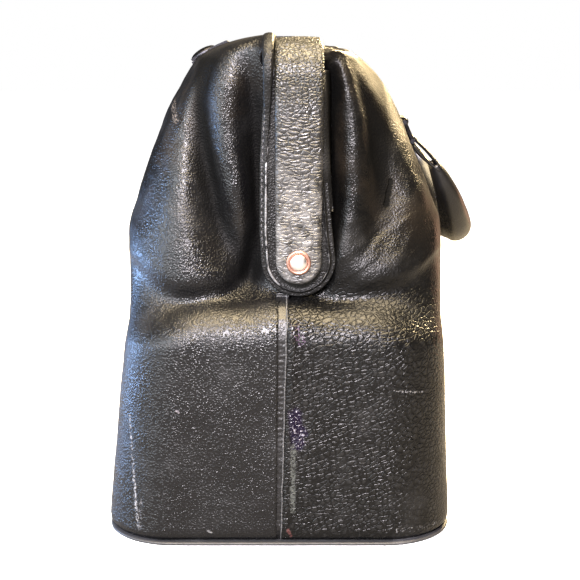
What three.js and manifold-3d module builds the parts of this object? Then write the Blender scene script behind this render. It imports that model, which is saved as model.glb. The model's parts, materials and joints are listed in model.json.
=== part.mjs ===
// A leather doctor bag (Gladstone bag), in millimetres.
// The lower box stands on z = 0 with +X along its length, -Y to the front, where the lock is, and +Y to
// the rear, where the handle is.
// Two U-shaped frames, one inside the other, turn about the hinge rivets at each end.
import * as THREE from "three";
import { mergeVertices } from "three/addons/utils/BufferGeometryUtils.js";
import Module from "manifold-3d";

const wasm = await Module();
wasm.setup();

// ---------------------------------------------------------------- driving dimensions
const GAP = 0.35; // between pieces that lie on each other
const LEATHER = 2.2;

// Lower box: half length and half width of the outside, with the plan corner radius, at each height.
const BOX_LEVELS = [
  { z: 3, length: 187, width: 90, corner: 34 },
  { z: 9, length: 190, width: 93, corner: 38 },
  { z: 60, length: 190, width: 89.5, corner: 38 },
  { z: 112, length: 190, width: 85.5, corner: 36 },
  { z: 122, length: 187.5, width: 84.7, corner: 35 },
  { z: 129, length: 181, width: 84.2, corner: 33 },
  { z: 132, length: 171, width: 84, corner: 30 },
];
const STIFF_TOP_LEVEL = 4; // the boards and the lining stop below the rounded shoulder
const BOARD = 1.5;
const LINING = 0.9;

// Hinge axis along X, through both frames.
const PIVOT_Y = 7;
const PIVOT_Z = 151;

// Each frame is a flat bar in a leather cover, bent to a U. Span and top are to the middle of its thickness.
const FRONT_FRAME = {
  span: 171, top: 256.1, bend: 12, thick: 4.4, y0: -11, y1: 20, barInset: 1.7, barThick: 2,
};
const REAR_FRAME = {
  span: 176.9, top: 262, bend: 17.9, thick: 5, y0: -5.25, y1: 19.25, barInset: 1.6, barThick: 2.4,
};
const FRONT_END_RADIUS = 18;
const FLARE_RISE = 45; // how far up the front frame's arm its wider end reaches
const REAR_END_RADIUS = (REAR_FRAME.y1 - REAR_FRAME.y0) / 2;
const FRAME_BOTTOM = PIVOT_Z - 40; // below both frames' round ends
const COVER_SLIT = 3; // where the edges of a cover meet, on the inside of the U
const SLIT_START = 8; // above the hinge axis

const BINDING = { y0: -11, y1: -5.9, top: 267, bottom: 205, notchHalf: 15, notchTop: 260 };

const RIVET = { shank: 2, shankEnd: 4, head: 4.2, headHeight: 2.6, washer: 6.4, washerThick: 0.8 };
const BURR = { radius: 5.5, thick: 1.2 };

// The lock and the hasp lie on circles about the hinge axis, so that the frames part without touching.
const LOCK = { angle: 29, inner: 106, outer: 118, length: 44, depth: 18 };
const NOTCH = { width: 3.6, back: 5 };
const BOLT = { width: 3, height: 3, travel: 5, tip: -2.2, tail: -20, radius: 114.7, beyond: 3 };
const POST = 4; // the bolt's post and its thumb piece, which stands above the case
const THUMB = { half: 3.5, overhang: 1, lift: 0.5, top: 3 };
const STAPLE = { half: 1.2, back: 3.4, foot: 111.4 };
// The hasp lies low behind the lock and steps up over it between the two step angles.
const HASP = {
  low: 111.2, high: 119, thick: 1.5, width: 18, rear: 8, stepFrom: 18.5, stepTo: 21.5, front: 33.5, facet: 1.5,
};
const HASP_AXIS = { radius: 112.9, angle: 7.6, barrel: 1.9, half: 5.5, hole: 1.2 };
const PIN = { radius: 0.85, half: 9.6 };
const ANCHOR = { half: 13, y0: -4.6, y1: 6, thick: 0.9, earFrom: 6, earTo: 9, earDrop: 0.4 };

const HANDLE_X = 62;
const CHAPE = { width: 18, thick: 2.6, front: 20.4, rivetY: 27.5, spread: 0.22 };
const CHAPE_RIVET = { shank: 1.6, foot: 257.6, head: 4, headFrom: 260.9, headThick: 1.4 };
const RING_AXIS = { y: 70, z: 216 };
const RING_DROP = { y: 75, z: 205 };
const GRIP_START = { y: 89, z: 191 };
const RING_WIRE = 1.4;
const RING_HALF_WIDTH = 12;
const RING_LOOP = 3.6; // outer radius of the leather loops round the ring
const TONGUE = { half: 2.4, halfWidth: 7 }; // the handle's flat ends
const GRIP = { end: 5, swell: 5.6, core: 3 }; // radii
const END_GAP = 2.2; // between a flat end and the grip

const BASE = { length: 186, width: 89, corner: 33, thick: 2.6 };
const BASE_BOARD = { inset: 5, from: 3, to: 6 };
const WELT = { length: 190, width: 93, corner: 37, wide: 3.6, from: 0.5 };
const SEAM = { half: 1.8, thick: 1.2, slope: 0.4 };
const POCKET = { half: 70, bottom: 40, top: 105, thick: 1.6, clear: 2.4 };

const ROUND = 28; // facets in a full turn
const FAR = 220; // beyond the bag's ends, for cuts right through it
const ABOVE = 300; // and above it

// ---------------------------------------------------------------- materials
const black = new THREE.MeshStandardMaterial({ color: 0x17161a, roughness: 0.45, metalness: 0 });
const softBlack = new THREE.MeshStandardMaterial({ color: 0x1d1c20, roughness: 0.5, metalness: 0 });
const steel = new THREE.MeshStandardMaterial({ color: 0x8b8d90, roughness: 0.35, metalness: 1 });
const nickel = new THREE.MeshStandardMaterial({ color: 0xdcdcd8, roughness: 0.18, metalness: 1 });
const copper = new THREE.MeshStandardMaterial({ color: 0xc98263, roughness: 0.3, metalness: 1 });
const gunmetal = new THREE.MeshStandardMaterial({ color: 0x24262b, roughness: 0.3, metalness: 1 });
const board = new THREE.MeshStandardMaterial({ color: 0x6b5236, roughness: 0.9, metalness: 0 });
const cloth = new THREE.MeshStandardMaterial({ color: 0x3a2a20, roughness: 0.95, metalness: 0 });
const cord = new THREE.MeshStandardMaterial({ color: 0xa08a68, roughness: 0.95, metalness: 0 });

// ---------------------------------------------------------------- solids
function solidOf(geometry) {
  const loose = geometry.index ? geometry.toNonIndexed() : geometry;
  const bare = new THREE.BufferGeometry().setAttribute("position", loose.getAttribute("position"));
  const merged = mergeVertices(bare, 1e-4);
  const mesh = new wasm.Mesh({
    numProp: 3,
    vertProperties: merged.attributes.position.array,
    triVerts: new Uint32Array(merged.index.array),
  });
  return new wasm.Manifold(mesh);
}

function geometryOf(solid) {
  const mesh = solid.getMesh();
  const position = new THREE.BufferAttribute(new Float32Array(mesh.vertProperties), 3);
  return new THREE.BufferGeometry()
    .setAttribute("position", position)
    .setIndex(new THREE.BufferAttribute(new Uint32Array(mesh.triVerts), 1));
}

function unite(...solids) {
  return solids.reduce((sum, next) => sum.add(next));
}

// Extrudes a flat shape from `from` to `to` along an axis. The shape's own axes are (x, y), (x, z) or (y, z).
function extrude(shape, axis, from, to) {
  const geometry = new THREE.ExtrudeGeometry(shape, {
    depth: to - from,
    bevelEnabled: false,
    curveSegments: ROUND / 4,
  });
  const X = new THREE.Vector3(1, 0, 0);
  const Y = new THREE.Vector3(0, 1, 0);
  const Z = new THREE.Vector3(0, 0, 1);
  const basis = new THREE.Matrix4();
  if (axis === "x") basis.makeBasis(Y, Z, X).setPosition(from, 0, 0);
  if (axis === "y") basis.makeBasis(X, Z, Y.clone().negate()).setPosition(0, to, 0);
  if (axis === "z") basis.setPosition(0, 0, from);
  return solidOf(geometry.applyMatrix4(basis));
}

function polygon(points) {
  return new THREE.Shape(points.map(([a, b]) => new THREE.Vector2(a, b)));
}

function rectangle(a0, b0, a1, b1) {
  return polygon([[a0, b0], [a1, b0], [a1, b1], [a0, b1]]);
}

function disc(a, b, radius) {
  const shape = new THREE.Shape();
  shape.absarc(a, b, radius, 0, 2 * Math.PI);
  return shape;
}

function roundedRectangle(halfLength, halfWidth, corner) {
  const [a, b, r] = [halfLength, halfWidth, corner];
  const shape = new THREE.Shape();
  shape.moveTo(-a + r, -b);
  shape.absarc(a - r, -b + r, r, -Math.PI / 2, 0);
  shape.absarc(a - r, b - r, r, 0, Math.PI / 2);
  shape.absarc(-a + r, b - r, r, Math.PI / 2, Math.PI);
  shape.absarc(-a + r, -b + r, r, Math.PI, 1.5 * Math.PI);
  return shape;
}

function box(x0, y0, z0, x1, y1, z1) {
  return extrude(rectangle(x0, y0, x1, y1), "z", z0, z1);
}

function rodAlongX(y, z, radius, x0, x1) {
  return extrude(disc(y, z, radius), "x", x0, x1);
}

// A point in the plane across the bag, at a radius and an angle forward of upright about the hinge axis.
function aboutHinge(radius, degrees) {
  const turn = THREE.MathUtils.degToRad(degrees);
  return [PIVOT_Y - radius * Math.sin(turn), PIVOT_Z + radius * Math.cos(turn)];
}

// A closed solid between two grids of points of the same size: grid[column][row].
function sheet(outer, inner) {
  const triangles = [];
  const quad = (a, b, c, d) => triangles.push(a, b, c, a, c, d);
  const columns = outer.length - 1;
  const rows = outer[0].length - 1;
  for (let i = 0; i < columns; i++) {
    for (let j = 0; j < rows; j++) {
      quad(outer[i][j], outer[i + 1][j], outer[i + 1][j + 1], outer[i][j + 1]);
      quad(inner[i][j], inner[i][j + 1], inner[i + 1][j + 1], inner[i + 1][j]);
    }
    quad(inner[i][0], inner[i + 1][0], outer[i + 1][0], outer[i][0]);
    quad(outer[i][rows], outer[i + 1][rows], inner[i + 1][rows], inner[i][rows]);
  }
  for (let j = 0; j < rows; j++) {
    quad(outer[0][j], outer[0][j + 1], inner[0][j + 1], inner[0][j]);
    quad(inner[columns][j], inner[columns][j + 1], outer[columns][j + 1], outer[columns][j]);
  }
  return facingOut(triangles);
}

function facingOut(triangles) {
  const volume = triangles.reduce((sum, p, n) => {
    return n % 3 ? sum : sum + p.dot(triangles[n + 1].clone().cross(triangles[n + 2]));
  }, 0);
  const ordered = volume > 0 ? triangles : [...triangles].reverse();
  return solidOf(new THREE.BufferGeometry().setFromPoints(ordered));
}

// A round rod along a curve, with a radius that changes from end to end.
function rodAlong(curve, radiusAt, steps, sides) {
  const frames = curve.computeFrenetFrames(steps, false);
  const rings = [];
  for (let i = 0; i <= steps; i++) {
    const centre = curve.getPointAt(i / steps);
    const radius = radiusAt(i / steps);
    rings.push(
      Array.from({ length: sides }, (_, k) => {
        const turn = (2 * Math.PI * k) / sides;
        return centre
          .clone()
          .addScaledVector(frames.normals[i], radius * Math.cos(turn))
          .addScaledVector(frames.binormals[i], radius * Math.sin(turn));
      }),
    );
  }
  const triangles = [];
  for (let k = 0; k < sides; k++) {
    const next = (k + 1) % sides;
    for (let i = 0; i < steps; i++) {
      const [a, b, c, d] = [rings[i][k], rings[i][next], rings[i + 1][next], rings[i + 1][k]];
      triangles.push(a, b, c, a, c, d);
    }
    triangles.push(curve.getPointAt(0), rings[0][next], rings[0][k]);
    triangles.push(curve.getPointAt(1), rings[steps][k], rings[steps][next]);
  }
  return facingOut(triangles);
}

// ---------------------------------------------------------------- lower box
const END_STEPS = 3;
const CORNER_STEPS = 7;
const SIDE_STEPS = 4;

// Half of a rounded rectangle, from the middle of the +X end round one side to the middle of the -X end.
function halfRing(level, inset, side, endStart) {
  const a = level.length - inset;
  const b = level.width - inset;
  const r = level.corner - inset;
  const quarter = [];
  for (let i = 0; i < END_STEPS; i++) {
    quarter.push([a, endStart + ((b - r - endStart) * i) / END_STEPS]);
  }
  for (let i = 0; i <= CORNER_STEPS; i++) {
    const turn = (Math.PI / 2) * (i / CORNER_STEPS);
    quarter.push([a - r + r * Math.cos(turn), b - r + r * Math.sin(turn)]);
  }
  for (let i = 1; i <= SIDE_STEPS; i++) quarter.push([(a - r) * (1 - i / SIDE_STEPS), b]);
  const mirrored = quarter.slice(0, -1).reverse().map(([x, y]) => [-x, y]);
  return [...quarter, ...mirrored].map(([x, y]) => new THREE.Vector3(x, side * y, level.z));
}

function transpose(rows) {
  return rows[0].map((_, i) => rows.map((row) => row[i]));
}

// A wall that follows the box, `inset` in from its outside, and lies on one side of the end seams.
function boxWall(side, inset, thick, levels) {
  const outer = transpose(levels.map((level) => halfRing(level, inset, side, GAP / 2)));
  const inner = transpose(levels.map((level) => halfRing(level, inset + thick, side, GAP / 2)));
  return sheet(outer, inner);
}

const innerLevels = BOX_LEVELS.slice(0, STIFF_TOP_LEVEL);
const boardLevels = [{ ...innerLevels[0], z: BASE_BOARD.to + 0.4 }, ...innerLevels.slice(1)];

function lining() {
  const inset = LEATHER + BOARD + 2 * GAP;
  const levels = [{ ...innerLevels[0], z: BASE_BOARD.to + 1.2 }, ...innerLevels.slice(1)];
  const solidBox = (extra, floor) => {
    const loop = levels.map((level, n) => {
      const z = n === 0 ? level.z + floor : level.z + (floor && n === levels.length - 1 ? 1 : 0);
      const front = halfRing({ ...level, z }, inset + extra, -1, 0);
      const rear = halfRing({ ...level, z }, inset + extra, 1, 0).reverse();
      return [...front, ...rear.slice(1, -1)];
    });
    return stack(loop);
  };
  return solidBox(0, 0).subtract(solidBox(LINING, LINING));
}

// A solid through a pile of closed outlines with the same number of points.
function stack(loops) {
  const triangles = [];
  const count = loops[0].length;
  const middle = (loop) => loop.reduce((sum, p) => sum.add(p), new THREE.Vector3()).divideScalar(count);
  const bottom = middle(loops[0]);
  const top = middle(loops[loops.length - 1]);
  for (let k = 0; k < count; k++) {
    const next = (k + 1) % count;
    for (let n = 0; n < loops.length - 1; n++) {
      const [a, b, c, d] = [loops[n][k], loops[n][next], loops[n + 1][next], loops[n + 1][k]];
      triangles.push(a, b, c, a, c, d);
    }
    triangles.push(bottom, loops[0][next], loops[0][k]);
    triangles.push(top, loops[loops.length - 1][k], loops[loops.length - 1][next]);
  }
  return facingOut(triangles);
}

function basePanel() {
  return extrude(roundedRectangle(BASE.length, BASE.width, BASE.corner), "z", 0, BASE.thick);
}

function baseBoard() {
  const { inset, from, to } = BASE_BOARD;
  return extrude(roundedRectangle(BASE.length - inset, BASE.width - inset, BASE.corner - inset), "z", from, to);
}

// The piping between the base and the walls.
function baseWelt() {
  const { length, width, corner, wide, from } = WELT;
  const outer = roundedRectangle(length, width, corner);
  outer.holes.push(roundedRectangle(length - wide, width - wide, corner - wide));
  return extrude(outer, "z", from, BASE.thick);
}

// The narrow strip that covers the seam on one end, from the base over the shoulder.
function seamStrip(end) {
  const profile = BOX_LEVELS.slice(0, -1).map((level) => [end * (level.length + GAP), level.z]);
  const outside = profile.map(([x, z]) => [x + end * SEAM.thick, z + SEAM.slope]).reverse();
  return extrude(polygon([...profile, ...outside]), "y", -SEAM.half, SEAM.half);
}

function innerPocket() {
  const wall = 82 - LEATHER - BOARD - LINING - 4 * GAP;
  const y = wall - POCKET.clear;
  return box(-POCKET.half, y - POCKET.thick, POCKET.bottom, POCKET.half, y, POCKET.top);
}

// ---------------------------------------------------------------- frames
function uShape(span, top, bend, thick, bottom) {
  const outline = (half, height, radius) => {
    const shape = new THREE.Shape();
    shape.moveTo(-half, bottom);
    shape.lineTo(half, bottom);
    shape.absarc(half - radius, height - radius, radius, 0, Math.PI / 2);
    shape.absarc(-half + radius, height - radius, radius, Math.PI / 2, Math.PI);
    return shape;
  };
  const h = thick / 2;
  const outer = extrude(outline(span + h, top + h, bend + h), "y", -FAR, FAR);
  const inner = extrude(outline(span - h, top - h, bend - h), "y", -FAR - 1, FAR + 1);
  const open = box(-(span - h), -FAR - 1, bottom - 2, span - h, FAR + 1, bottom + 1);
  return outer.subtract(inner.add(open));
}

// The side view of a frame: straight arms that end in a round about the hinge axis.
function frameMask(frame, endRadius, inset) {
  const y0 = frame.y0 + inset;
  const y1 = frame.y1 - inset;
  const radius = endRadius - inset;
  const arms = extrude(rectangle(y0, PIVOT_Z, y1, ABOVE), "x", -FAR, FAR);
  return arms.add(rodAlongX(PIVOT_Y, PIVOT_Z, radius, -FAR, FAR));
}

// The inner frame's end spreads out to the width of its round.
function flare() {
  const shape = polygon([
    [PIVOT_Y - FRONT_END_RADIUS, PIVOT_Z],
    [PIVOT_Y + FRONT_END_RADIUS, PIVOT_Z],
    [FRONT_FRAME.y1, PIVOT_Z + FLARE_RISE],
    [FRONT_FRAME.y0, PIVOT_Z + FLARE_RISE],
  ]);
  return extrude(shape, "x", -FAR, FAR);
}

function hingeHole(radius) {
  return rodAlongX(PIVOT_Y, PIVOT_Z, radius, -FAR, FAR);
}

function frameCover(frame, endRadius, extra) {
  const { span, top, bend, thick, barThick, barInset } = frame;
  const body = uShape(span, top, bend, thick, FRAME_BOTTOM);
  const mask = frameMask(frame, endRadius, 0);
  const hollow = uShape(span, top, bend, barThick + 2 * GAP, FRAME_BOTTOM - 1);
  const hollowMask = frameMask(frame, endRadius, barInset - GAP);
  const slit = uShape(span - thick / 2, top - thick / 2, bend - 1, thick / 2, FRAME_BOTTOM);
  const slitY = (frame.y0 + frame.y1) / 2;
  const slitBand = box(-FAR, slitY - COVER_SLIT / 2, PIVOT_Z + SLIT_START, FAR, slitY + COVER_SLIT / 2, ABOVE);
  return body
    .intersect(extra ? mask.add(extra) : mask)
    .subtract(hollow.intersect(hollowMask))
    .subtract(slit.intersect(slitBand))
    .subtract(hingeHole(RIVET.shank + GAP));
}

function frameBar(frame, endRadius) {
  const bar = uShape(frame.span, frame.top, frame.bend, frame.barThick, FRAME_BOTTOM);
  return bar.intersect(frameMask(frame, endRadius, frame.barInset)).subtract(hingeHole(RIVET.shank + GAP));
}

// The raised edge of the front frame, beside the rear frame's cover.
function edgeBinding() {
  const inner = FRONT_FRAME.top + FRONT_FRAME.thick / 2 + GAP;
  const thick = BINDING.top - inner;
  const span = FRONT_FRAME.span + FRONT_FRAME.thick / 2 + GAP + thick / 2;
  const bend = FRONT_FRAME.bend + FRONT_FRAME.thick / 2 + thick / 2;
  const { y0, y1, bottom, notchHalf, notchTop } = BINDING;
  const notch = box(-notchHalf, y0 - 1, notchTop, notchHalf, y1 + 1, ABOVE);
  return uShape(span, inner + thick / 2, bend, thick, bottom)
    .intersect(box(-FAR, y0, 0, FAR, y1, ABOVE))
    .subtract(notch);
}

// ---------------------------------------------------------------- upper leather
// The middle of each side in the plane across the bag, from the shoulder to the frame's edge.
const FRONT_PROFILE = [
  [-84, 132.6], [-83.5, 152], [-79, 178], [-67, 208], [-57, 229],
  [-50, 240], [-41, 249.5], [-26, 256], [-11.4, 260],
];
const REAR_PROFILE = [
  [84, 132.6], [83.5, 152], [80.5, 174], [73.5, 198], [61, 226],
  [54, 238], [46, 247.5], [34, 255], [20.4, 257.5],
];
const ARM_FOOT = 136; // where the leather's edge starts up the frame's arm
const ARM_SHARE = 0.62; // the part of the end's columns that is spread over the lower arm
const ARM_RISE = 0.55; // the part of the arm's height that those columns take
const FLARE_TOP = 198; // the rear leather stands clear of the inner frame's wider end below this
const FLARE_CLEAR = 5;

// A sheet from the shoulder up to the frame: its head climbs the arm at each end and runs along the top bar.
function upperLeather(side, profile, flareClear) {
  const [frameY, top] = profile[profile.length - 1];
  const [footY, footZ] = profile[0];
  const low = BOX_LEVELS[BOX_LEVELS.length - 1];
  const foot = { ...low, length: low.length - 1.5, z: footZ };
  const span = FRONT_FRAME.span - 0.2;
  const grid = (inset) => {
    const ring = halfRing(foot, inset, side, Math.abs(frameY) + flareClear);
    const last = ring.length - 1;
    const cornerEnd = (END_STEPS + CORNER_STEPS) / (last / 2);
    return ring.map((start, n) => {
      const along = Math.min(n, last - n) / (last / 2);
      const climb = Math.min(1, along / cornerEnd);
      const inward = Math.max(0, (along - cornerEnd) / (1 - cornerEnd));
      const lower = (climb / ARM_SHARE) * ARM_RISE;
      const upper = ARM_RISE + ((climb - ARM_SHARE) / (1 - ARM_SHARE)) * (1 - ARM_RISE);
      const headZ = ARM_FOOT + (top - inset - ARM_FOOT) * Math.max(lower, upper);
      const headX = Math.sign(start.x) * (span * (1 - inward) - inset * Math.sign(1 - inward));
      const headY = frameY + (headZ < FLARE_TOP ? side * flareClear : 0);
      return profile.map(([y, z]) => {
        const across = (y - footY) / (frameY - footY);
        const up = (z - footZ) / (top - footZ);
        return new THREE.Vector3(
          start.x + (headX - start.x) * up,
          start.y + (headY - start.y) * across,
          start.z + (headZ - start.z) * up,
        );
      });
    });
  };
  return sheet(grid(0), grid(LEATHER));
}

// ---------------------------------------------------------------- hinge rivets
function hingeHead(end) {
  const face = REAR_FRAME.span + REAR_FRAME.thick / 2 + GAP + RIVET.washerThick + GAP;
  const dome = new THREE.Shape();
  dome.moveTo(0, 0);
  dome.lineTo(RIVET.head, 0);
  dome.quadraticCurveTo(RIVET.head, RIVET.headHeight, 0, RIVET.headHeight);
  const turned = new THREE.LatheGeometry(dome.getPoints(6), ROUND);
  turned.rotateZ(-Math.PI / 2).translate(face, PIVOT_Y, PIVOT_Z);
  const inner = FRONT_FRAME.span - FRONT_FRAME.thick / 2 - RIVET.shankEnd;
  const rivet = solidOf(turned).add(rodAlongX(PIVOT_Y, PIVOT_Z, RIVET.shank, inner, face + 0.5));
  return end > 0 ? rivet : rivet.mirror([1, 0, 0]);
}

function hingeRing(end, near, thick, radius) {
  const ring = rodAlongX(PIVOT_Y, PIVOT_Z, radius, near, near + thick).subtract(hingeHole(RIVET.shank + GAP));
  return end > 0 ? ring : ring.mirror([1, 0, 0]);
}

// ---------------------------------------------------------------- lock and hasp
// Turns a solid made at the top of the circle about the hinge axis forward by an angle.
function turnedForward(solid, degrees) {
  return solid
    .translate([0, -PIVOT_Y, -PIVOT_Z])
    .rotate([degrees, 0, 0])
    .translate([0, PIVOT_Y, PIVOT_Z]);
}

// The same, in the plane where the lock stands upright: y counts from the hinge axis, z is the radius.
function atTop(x0, y0, r0, x1, y1, r1) {
  return box(x0, PIVOT_Y + y0, PIVOT_Z + r0, x1, PIVOT_Y + y1, PIVOT_Z + r1);
}

function lockCase() {
  const half = LOCK.length / 2;
  const deep = LOCK.depth / 2;
  const wall = GAP;
  const body = atTop(-half, -deep, LOCK.inner, half, deep, LOCK.outer);
  const side = NOTCH.width / 2;
  const notch = atTop(-side, -NOTCH.back, LOCK.inner - 1, side, deep + 1, LOCK.outer + 1);
  const h = BOLT.height / 2 + wall;
  const w = BOLT.width / 2 + wall;
  const start = BOLT.tail - wall;
  const channel = atTop(start, -w, BOLT.radius - h, side + BOLT.beyond, w, BOLT.radius + h);
  const slot = atTop(start, -w, BOLT.radius, BOLT.tail + BOLT.travel + POST + wall, w, LOCK.outer + 1);
  return turnedForward(body.subtract(notch).subtract(channel).subtract(slot), LOCK.angle);
}

function lockBolt() {
  const h = BOLT.height / 2;
  const w = BOLT.width / 2;
  const bar = atTop(BOLT.tail, -w, BOLT.radius - h, BOLT.tip, w, BOLT.radius + h);
  const post = atTop(BOLT.tail, -w, BOLT.radius, BOLT.tail + POST, w, LOCK.outer + 1);
  const { half, overhang, lift, top } = THUMB;
  const [x0, x1] = [BOLT.tail - overhang, BOLT.tail + POST + overhang];
  const thumb = atTop(x0, -half, LOCK.outer + lift, x1, half, LOCK.outer + top);
  return turnedForward(unite(bar, post, thumb), LOCK.angle);
}

const [haspY, haspZ] = aboutHinge(HASP_AXIS.radius, HASP_AXIS.angle);

// The hasp: a curved, stepped plate, and under it the staple that the bolt passes through.
function haspPlate() {
  const side = (extra) => {
    const points = [];
    for (let angle = HASP.rear; angle <= HASP.front; angle += HASP.facet) {
      const rise = THREE.MathUtils.clamp((angle - HASP.stepFrom) / (HASP.stepTo - HASP.stepFrom), 0, 1);
      points.push(aboutHinge(HASP.low + (HASP.high - HASP.low) * rise + extra, angle));
    }
    return points;
  };
  const outline = polygon([...side(0), ...side(HASP.thick).reverse()]);
  const plate = extrude(outline, "x", -HASP.width / 2, HASP.width / 2);
  const hole = BOLT.height / 2 + GAP;
  const { half, back, foot } = STAPLE;
  const eye = atTop(-half - 1, -hole, BOLT.radius - hole, half + 1, hole, BOLT.radius + hole);
  const staple = atTop(-half, -back, foot, half, back, HASP.high + 0.5).subtract(eye);
  const barrel = rodAlongX(haspY, haspZ, HASP_AXIS.barrel, -HASP_AXIS.half, HASP_AXIS.half);
  return unite(plate, turnedForward(staple, LOCK.angle), barrel).subtract(haspBore()).subtract(haspEarRoom());
}

function haspBore() {
  return rodAlongX(haspY, haspZ, HASP_AXIS.hole, -HASP.width, HASP.width);
}

// Room in the hasp for the two ears of the anchor.
function haspEarRoom() {
  const room = (x0, x1) => rodAlongX(haspY, haspZ, HASP_AXIS.barrel + 0.6, x0, x1);
  return room(-HASP.width, -HASP_AXIS.half).add(room(HASP_AXIS.half, HASP.width));
}

function haspAnchor() {
  const { earFrom, earTo, earDrop } = ANCHOR;
  const foot = REAR_FRAME.top + REAR_FRAME.thick / 2 + GAP;
  const leaf = box(-ANCHOR.half, ANCHOR.y0, foot, ANCHOR.half, ANCHOR.y1, foot + ANCHOR.thick);
  const ear = (x0, x1) => {
    const low = haspZ - earDrop;
    const arm = box(x0, haspY, low, x1, ANCHOR.y0 - 0.9, haspZ + HASP_AXIS.barrel);
    const web = box(x0, ANCHOR.y0 - 1.4, low, x1, REAR_FRAME.y0 - GAP, foot + ANCHOR.thick);
    const top = box(x0, REAR_FRAME.y0 - 1.6, foot, x1, ANCHOR.y0 + 1, foot + ANCHOR.thick);
    return unite(rodAlongX(haspY, haspZ, HASP_AXIS.barrel, x0, x1), arm, web, top);
  };
  return unite(leaf, ear(-earTo, -earFrom), ear(earFrom, earTo)).subtract(haspBore());
}

function haspPin() {
  return rodAlongX(haspY, haspZ, PIN.radius, -PIN.half, PIN.half);
}

// ---------------------------------------------------------------- handle
// The chape follows the leather down from the rear edge of the frame and ends in a loop for the ring.
const CHAPE_LINE = [[CHAPE.front, 258.6], [34, 256.2], [46.8, 248.6], [54.8, 239.2], [62, 227]];

function chape(x) {
  const t = CHAPE.thick;
  const under = [...CHAPE_LINE, [RING_AXIS.y - RING_LOOP + 1, RING_AXIS.z]];
  const over = CHAPE_LINE.map(([y, z], n) => [y + t * n * CHAPE.spread, z + t]);
  over.push([RING_AXIS.y + 1.5, RING_AXIS.z + RING_LOOP - 0.4]);
  const [x0, x1] = [x - CHAPE.width / 2, x + CHAPE.width / 2];
  const strap = extrude(polygon([...under, ...over.reverse()]), "x", x0, x1);
  const tube = rodAlongX(RING_AXIS.y, RING_AXIS.z, RING_LOOP, x0, x1);
  const hole = rodAlongX(RING_AXIS.y, RING_AXIS.z, RING_WIRE + GAP, x0 - 1, x1 + 1);
  const rivetHole = extrude(disc(x, CHAPE.rivetY, CHAPE_RIVET.shank + GAP), "z", PIVOT_Z, ABOVE);
  return strap.add(tube).subtract(hole).subtract(rivetHole);
}

function chapeRivet(x) {
  const { shank, foot, head, headFrom, headThick } = CHAPE_RIVET;
  const top = extrude(disc(x, CHAPE.rivetY, head), "z", headFrom, headFrom + headThick);
  return top.add(extrude(disc(x, CHAPE.rivetY, shank), "z", foot, headFrom + headThick / 2));
}

// A wire rectangle, with its upper bar in the chape's loop and its lower bar in the handle's loop.
function handleRing(x) {
  const upper = new THREE.Vector3(0, RING_AXIS.y, RING_AXIS.z);
  const lower = new THREE.Vector3(0, RING_DROP.y, RING_DROP.z);
  const half = RING_HALF_WIDTH;
  const bar = (p) => rodAlongX(p.y, p.z, RING_WIRE, x - half - RING_WIRE, x + half + RING_WIRE);
  const side = (sx) => {
    const line = new THREE.LineCurve3(upper.clone().setX(x + sx * half), lower.clone().setX(x + sx * half));
    return rodAlong(line, () => RING_WIRE, 1, 12);
  };
  return unite(bar(upper), bar(lower), side(-1), side(1));
}

// Half of the handle's line: down from the ring, outward, and round to the grip in the middle.
const HANDLE_LINE = new THREE.CatmullRomCurve3(
  [
    [62, GRIP_START.y, GRIP_START.z], [59, 95, 180], [50, 101, 167], [32, 107, 152.5], [12, 110, 146],
    [-12, 110, 146], [-32, 107, 152.5], [-50, 101, 167], [-59, 95, 180], [-62, GRIP_START.y, GRIP_START.z],
  ].map(([x, y, z]) => new THREE.Vector3(x, y, z)),
);
const handleRadius = (t) => GRIP.end + GRIP.swell * Math.sin(Math.PI * t) ** 0.8;

function handleGrip() {
  const outer = rodAlong(HANDLE_LINE, handleRadius, 30, 16);
  const hollow = rodAlong(extended(HANDLE_LINE, 2), () => GRIP.core + GAP, 30, 10);
  return outer.subtract(hollow);
}

function handleCore() {
  return rodAlong(HANDLE_LINE, () => GRIP.core, 30, 10);
}

// The same line, a little longer at both ends.
function extended(curve, extra) {
  const points = curve.getPoints(40);
  points.unshift(points[0].clone().addScaledVector(curve.getTangent(0), -extra));
  points.push(points[points.length - 1].clone().addScaledVector(curve.getTangent(1), extra));
  return new THREE.CatmullRomCurve3(points);
}

// The folded end of the handle: a loop round the ring's lower bar, and the tongue that the grip is sewn to.
function handleEnd(side) {
  const [x0, x1] = [side * HANDLE_X - TONGUE.halfWidth, side * HANDLE_X + TONGUE.halfWidth];
  const outward = GRIP_START.y - RING_DROP.y;
  const down = RING_DROP.z - GRIP_START.z;
  const reach = Math.hypot(outward, down) - END_GAP;
  const tongue = box(x0, -TONGUE.half, -reach, x1, TONGUE.half, 0)
    .rotate([THREE.MathUtils.radToDeg(Math.atan2(outward, down)), 0, 0])
    .translate([0, RING_DROP.y, RING_DROP.z]);
  const loop = rodAlongX(RING_DROP.y, RING_DROP.z, RING_LOOP, x0, x1);
  const hole = rodAlongX(RING_DROP.y, RING_DROP.z, RING_WIRE + GAP, x0 - 1, x1 + 1);
  return tongue.add(loop).subtract(hole);
}

// ---------------------------------------------------------------- the bag
const bag = new THREE.Group();

function add(name, solid, material) {
  const mesh = new THREE.Mesh(geometryOf(solid), material);
  mesh.name = name;
  bag.add(mesh);
}

const boardInset = LEATHER + GAP;
add("base_panel", basePanel(), black);
add("base_welt", baseWelt(), black);
add("base_board", baseBoard(), board);
add("front_panel", boxWall(-1, 0, LEATHER, BOX_LEVELS), black);
add("rear_panel", boxWall(1, 0, LEATHER, BOX_LEVELS), black);
add("front_stiffener", boxWall(-1, boardInset, BOARD, boardLevels), board);
add("rear_stiffener", boxWall(1, boardInset, BOARD, boardLevels), board);
add("lining", lining(), cloth);
add("inner_pocket", innerPocket(), cloth);
add("seam_strip_right", seamStrip(1), black);
add("seam_strip_left", seamStrip(-1), black);

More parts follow.
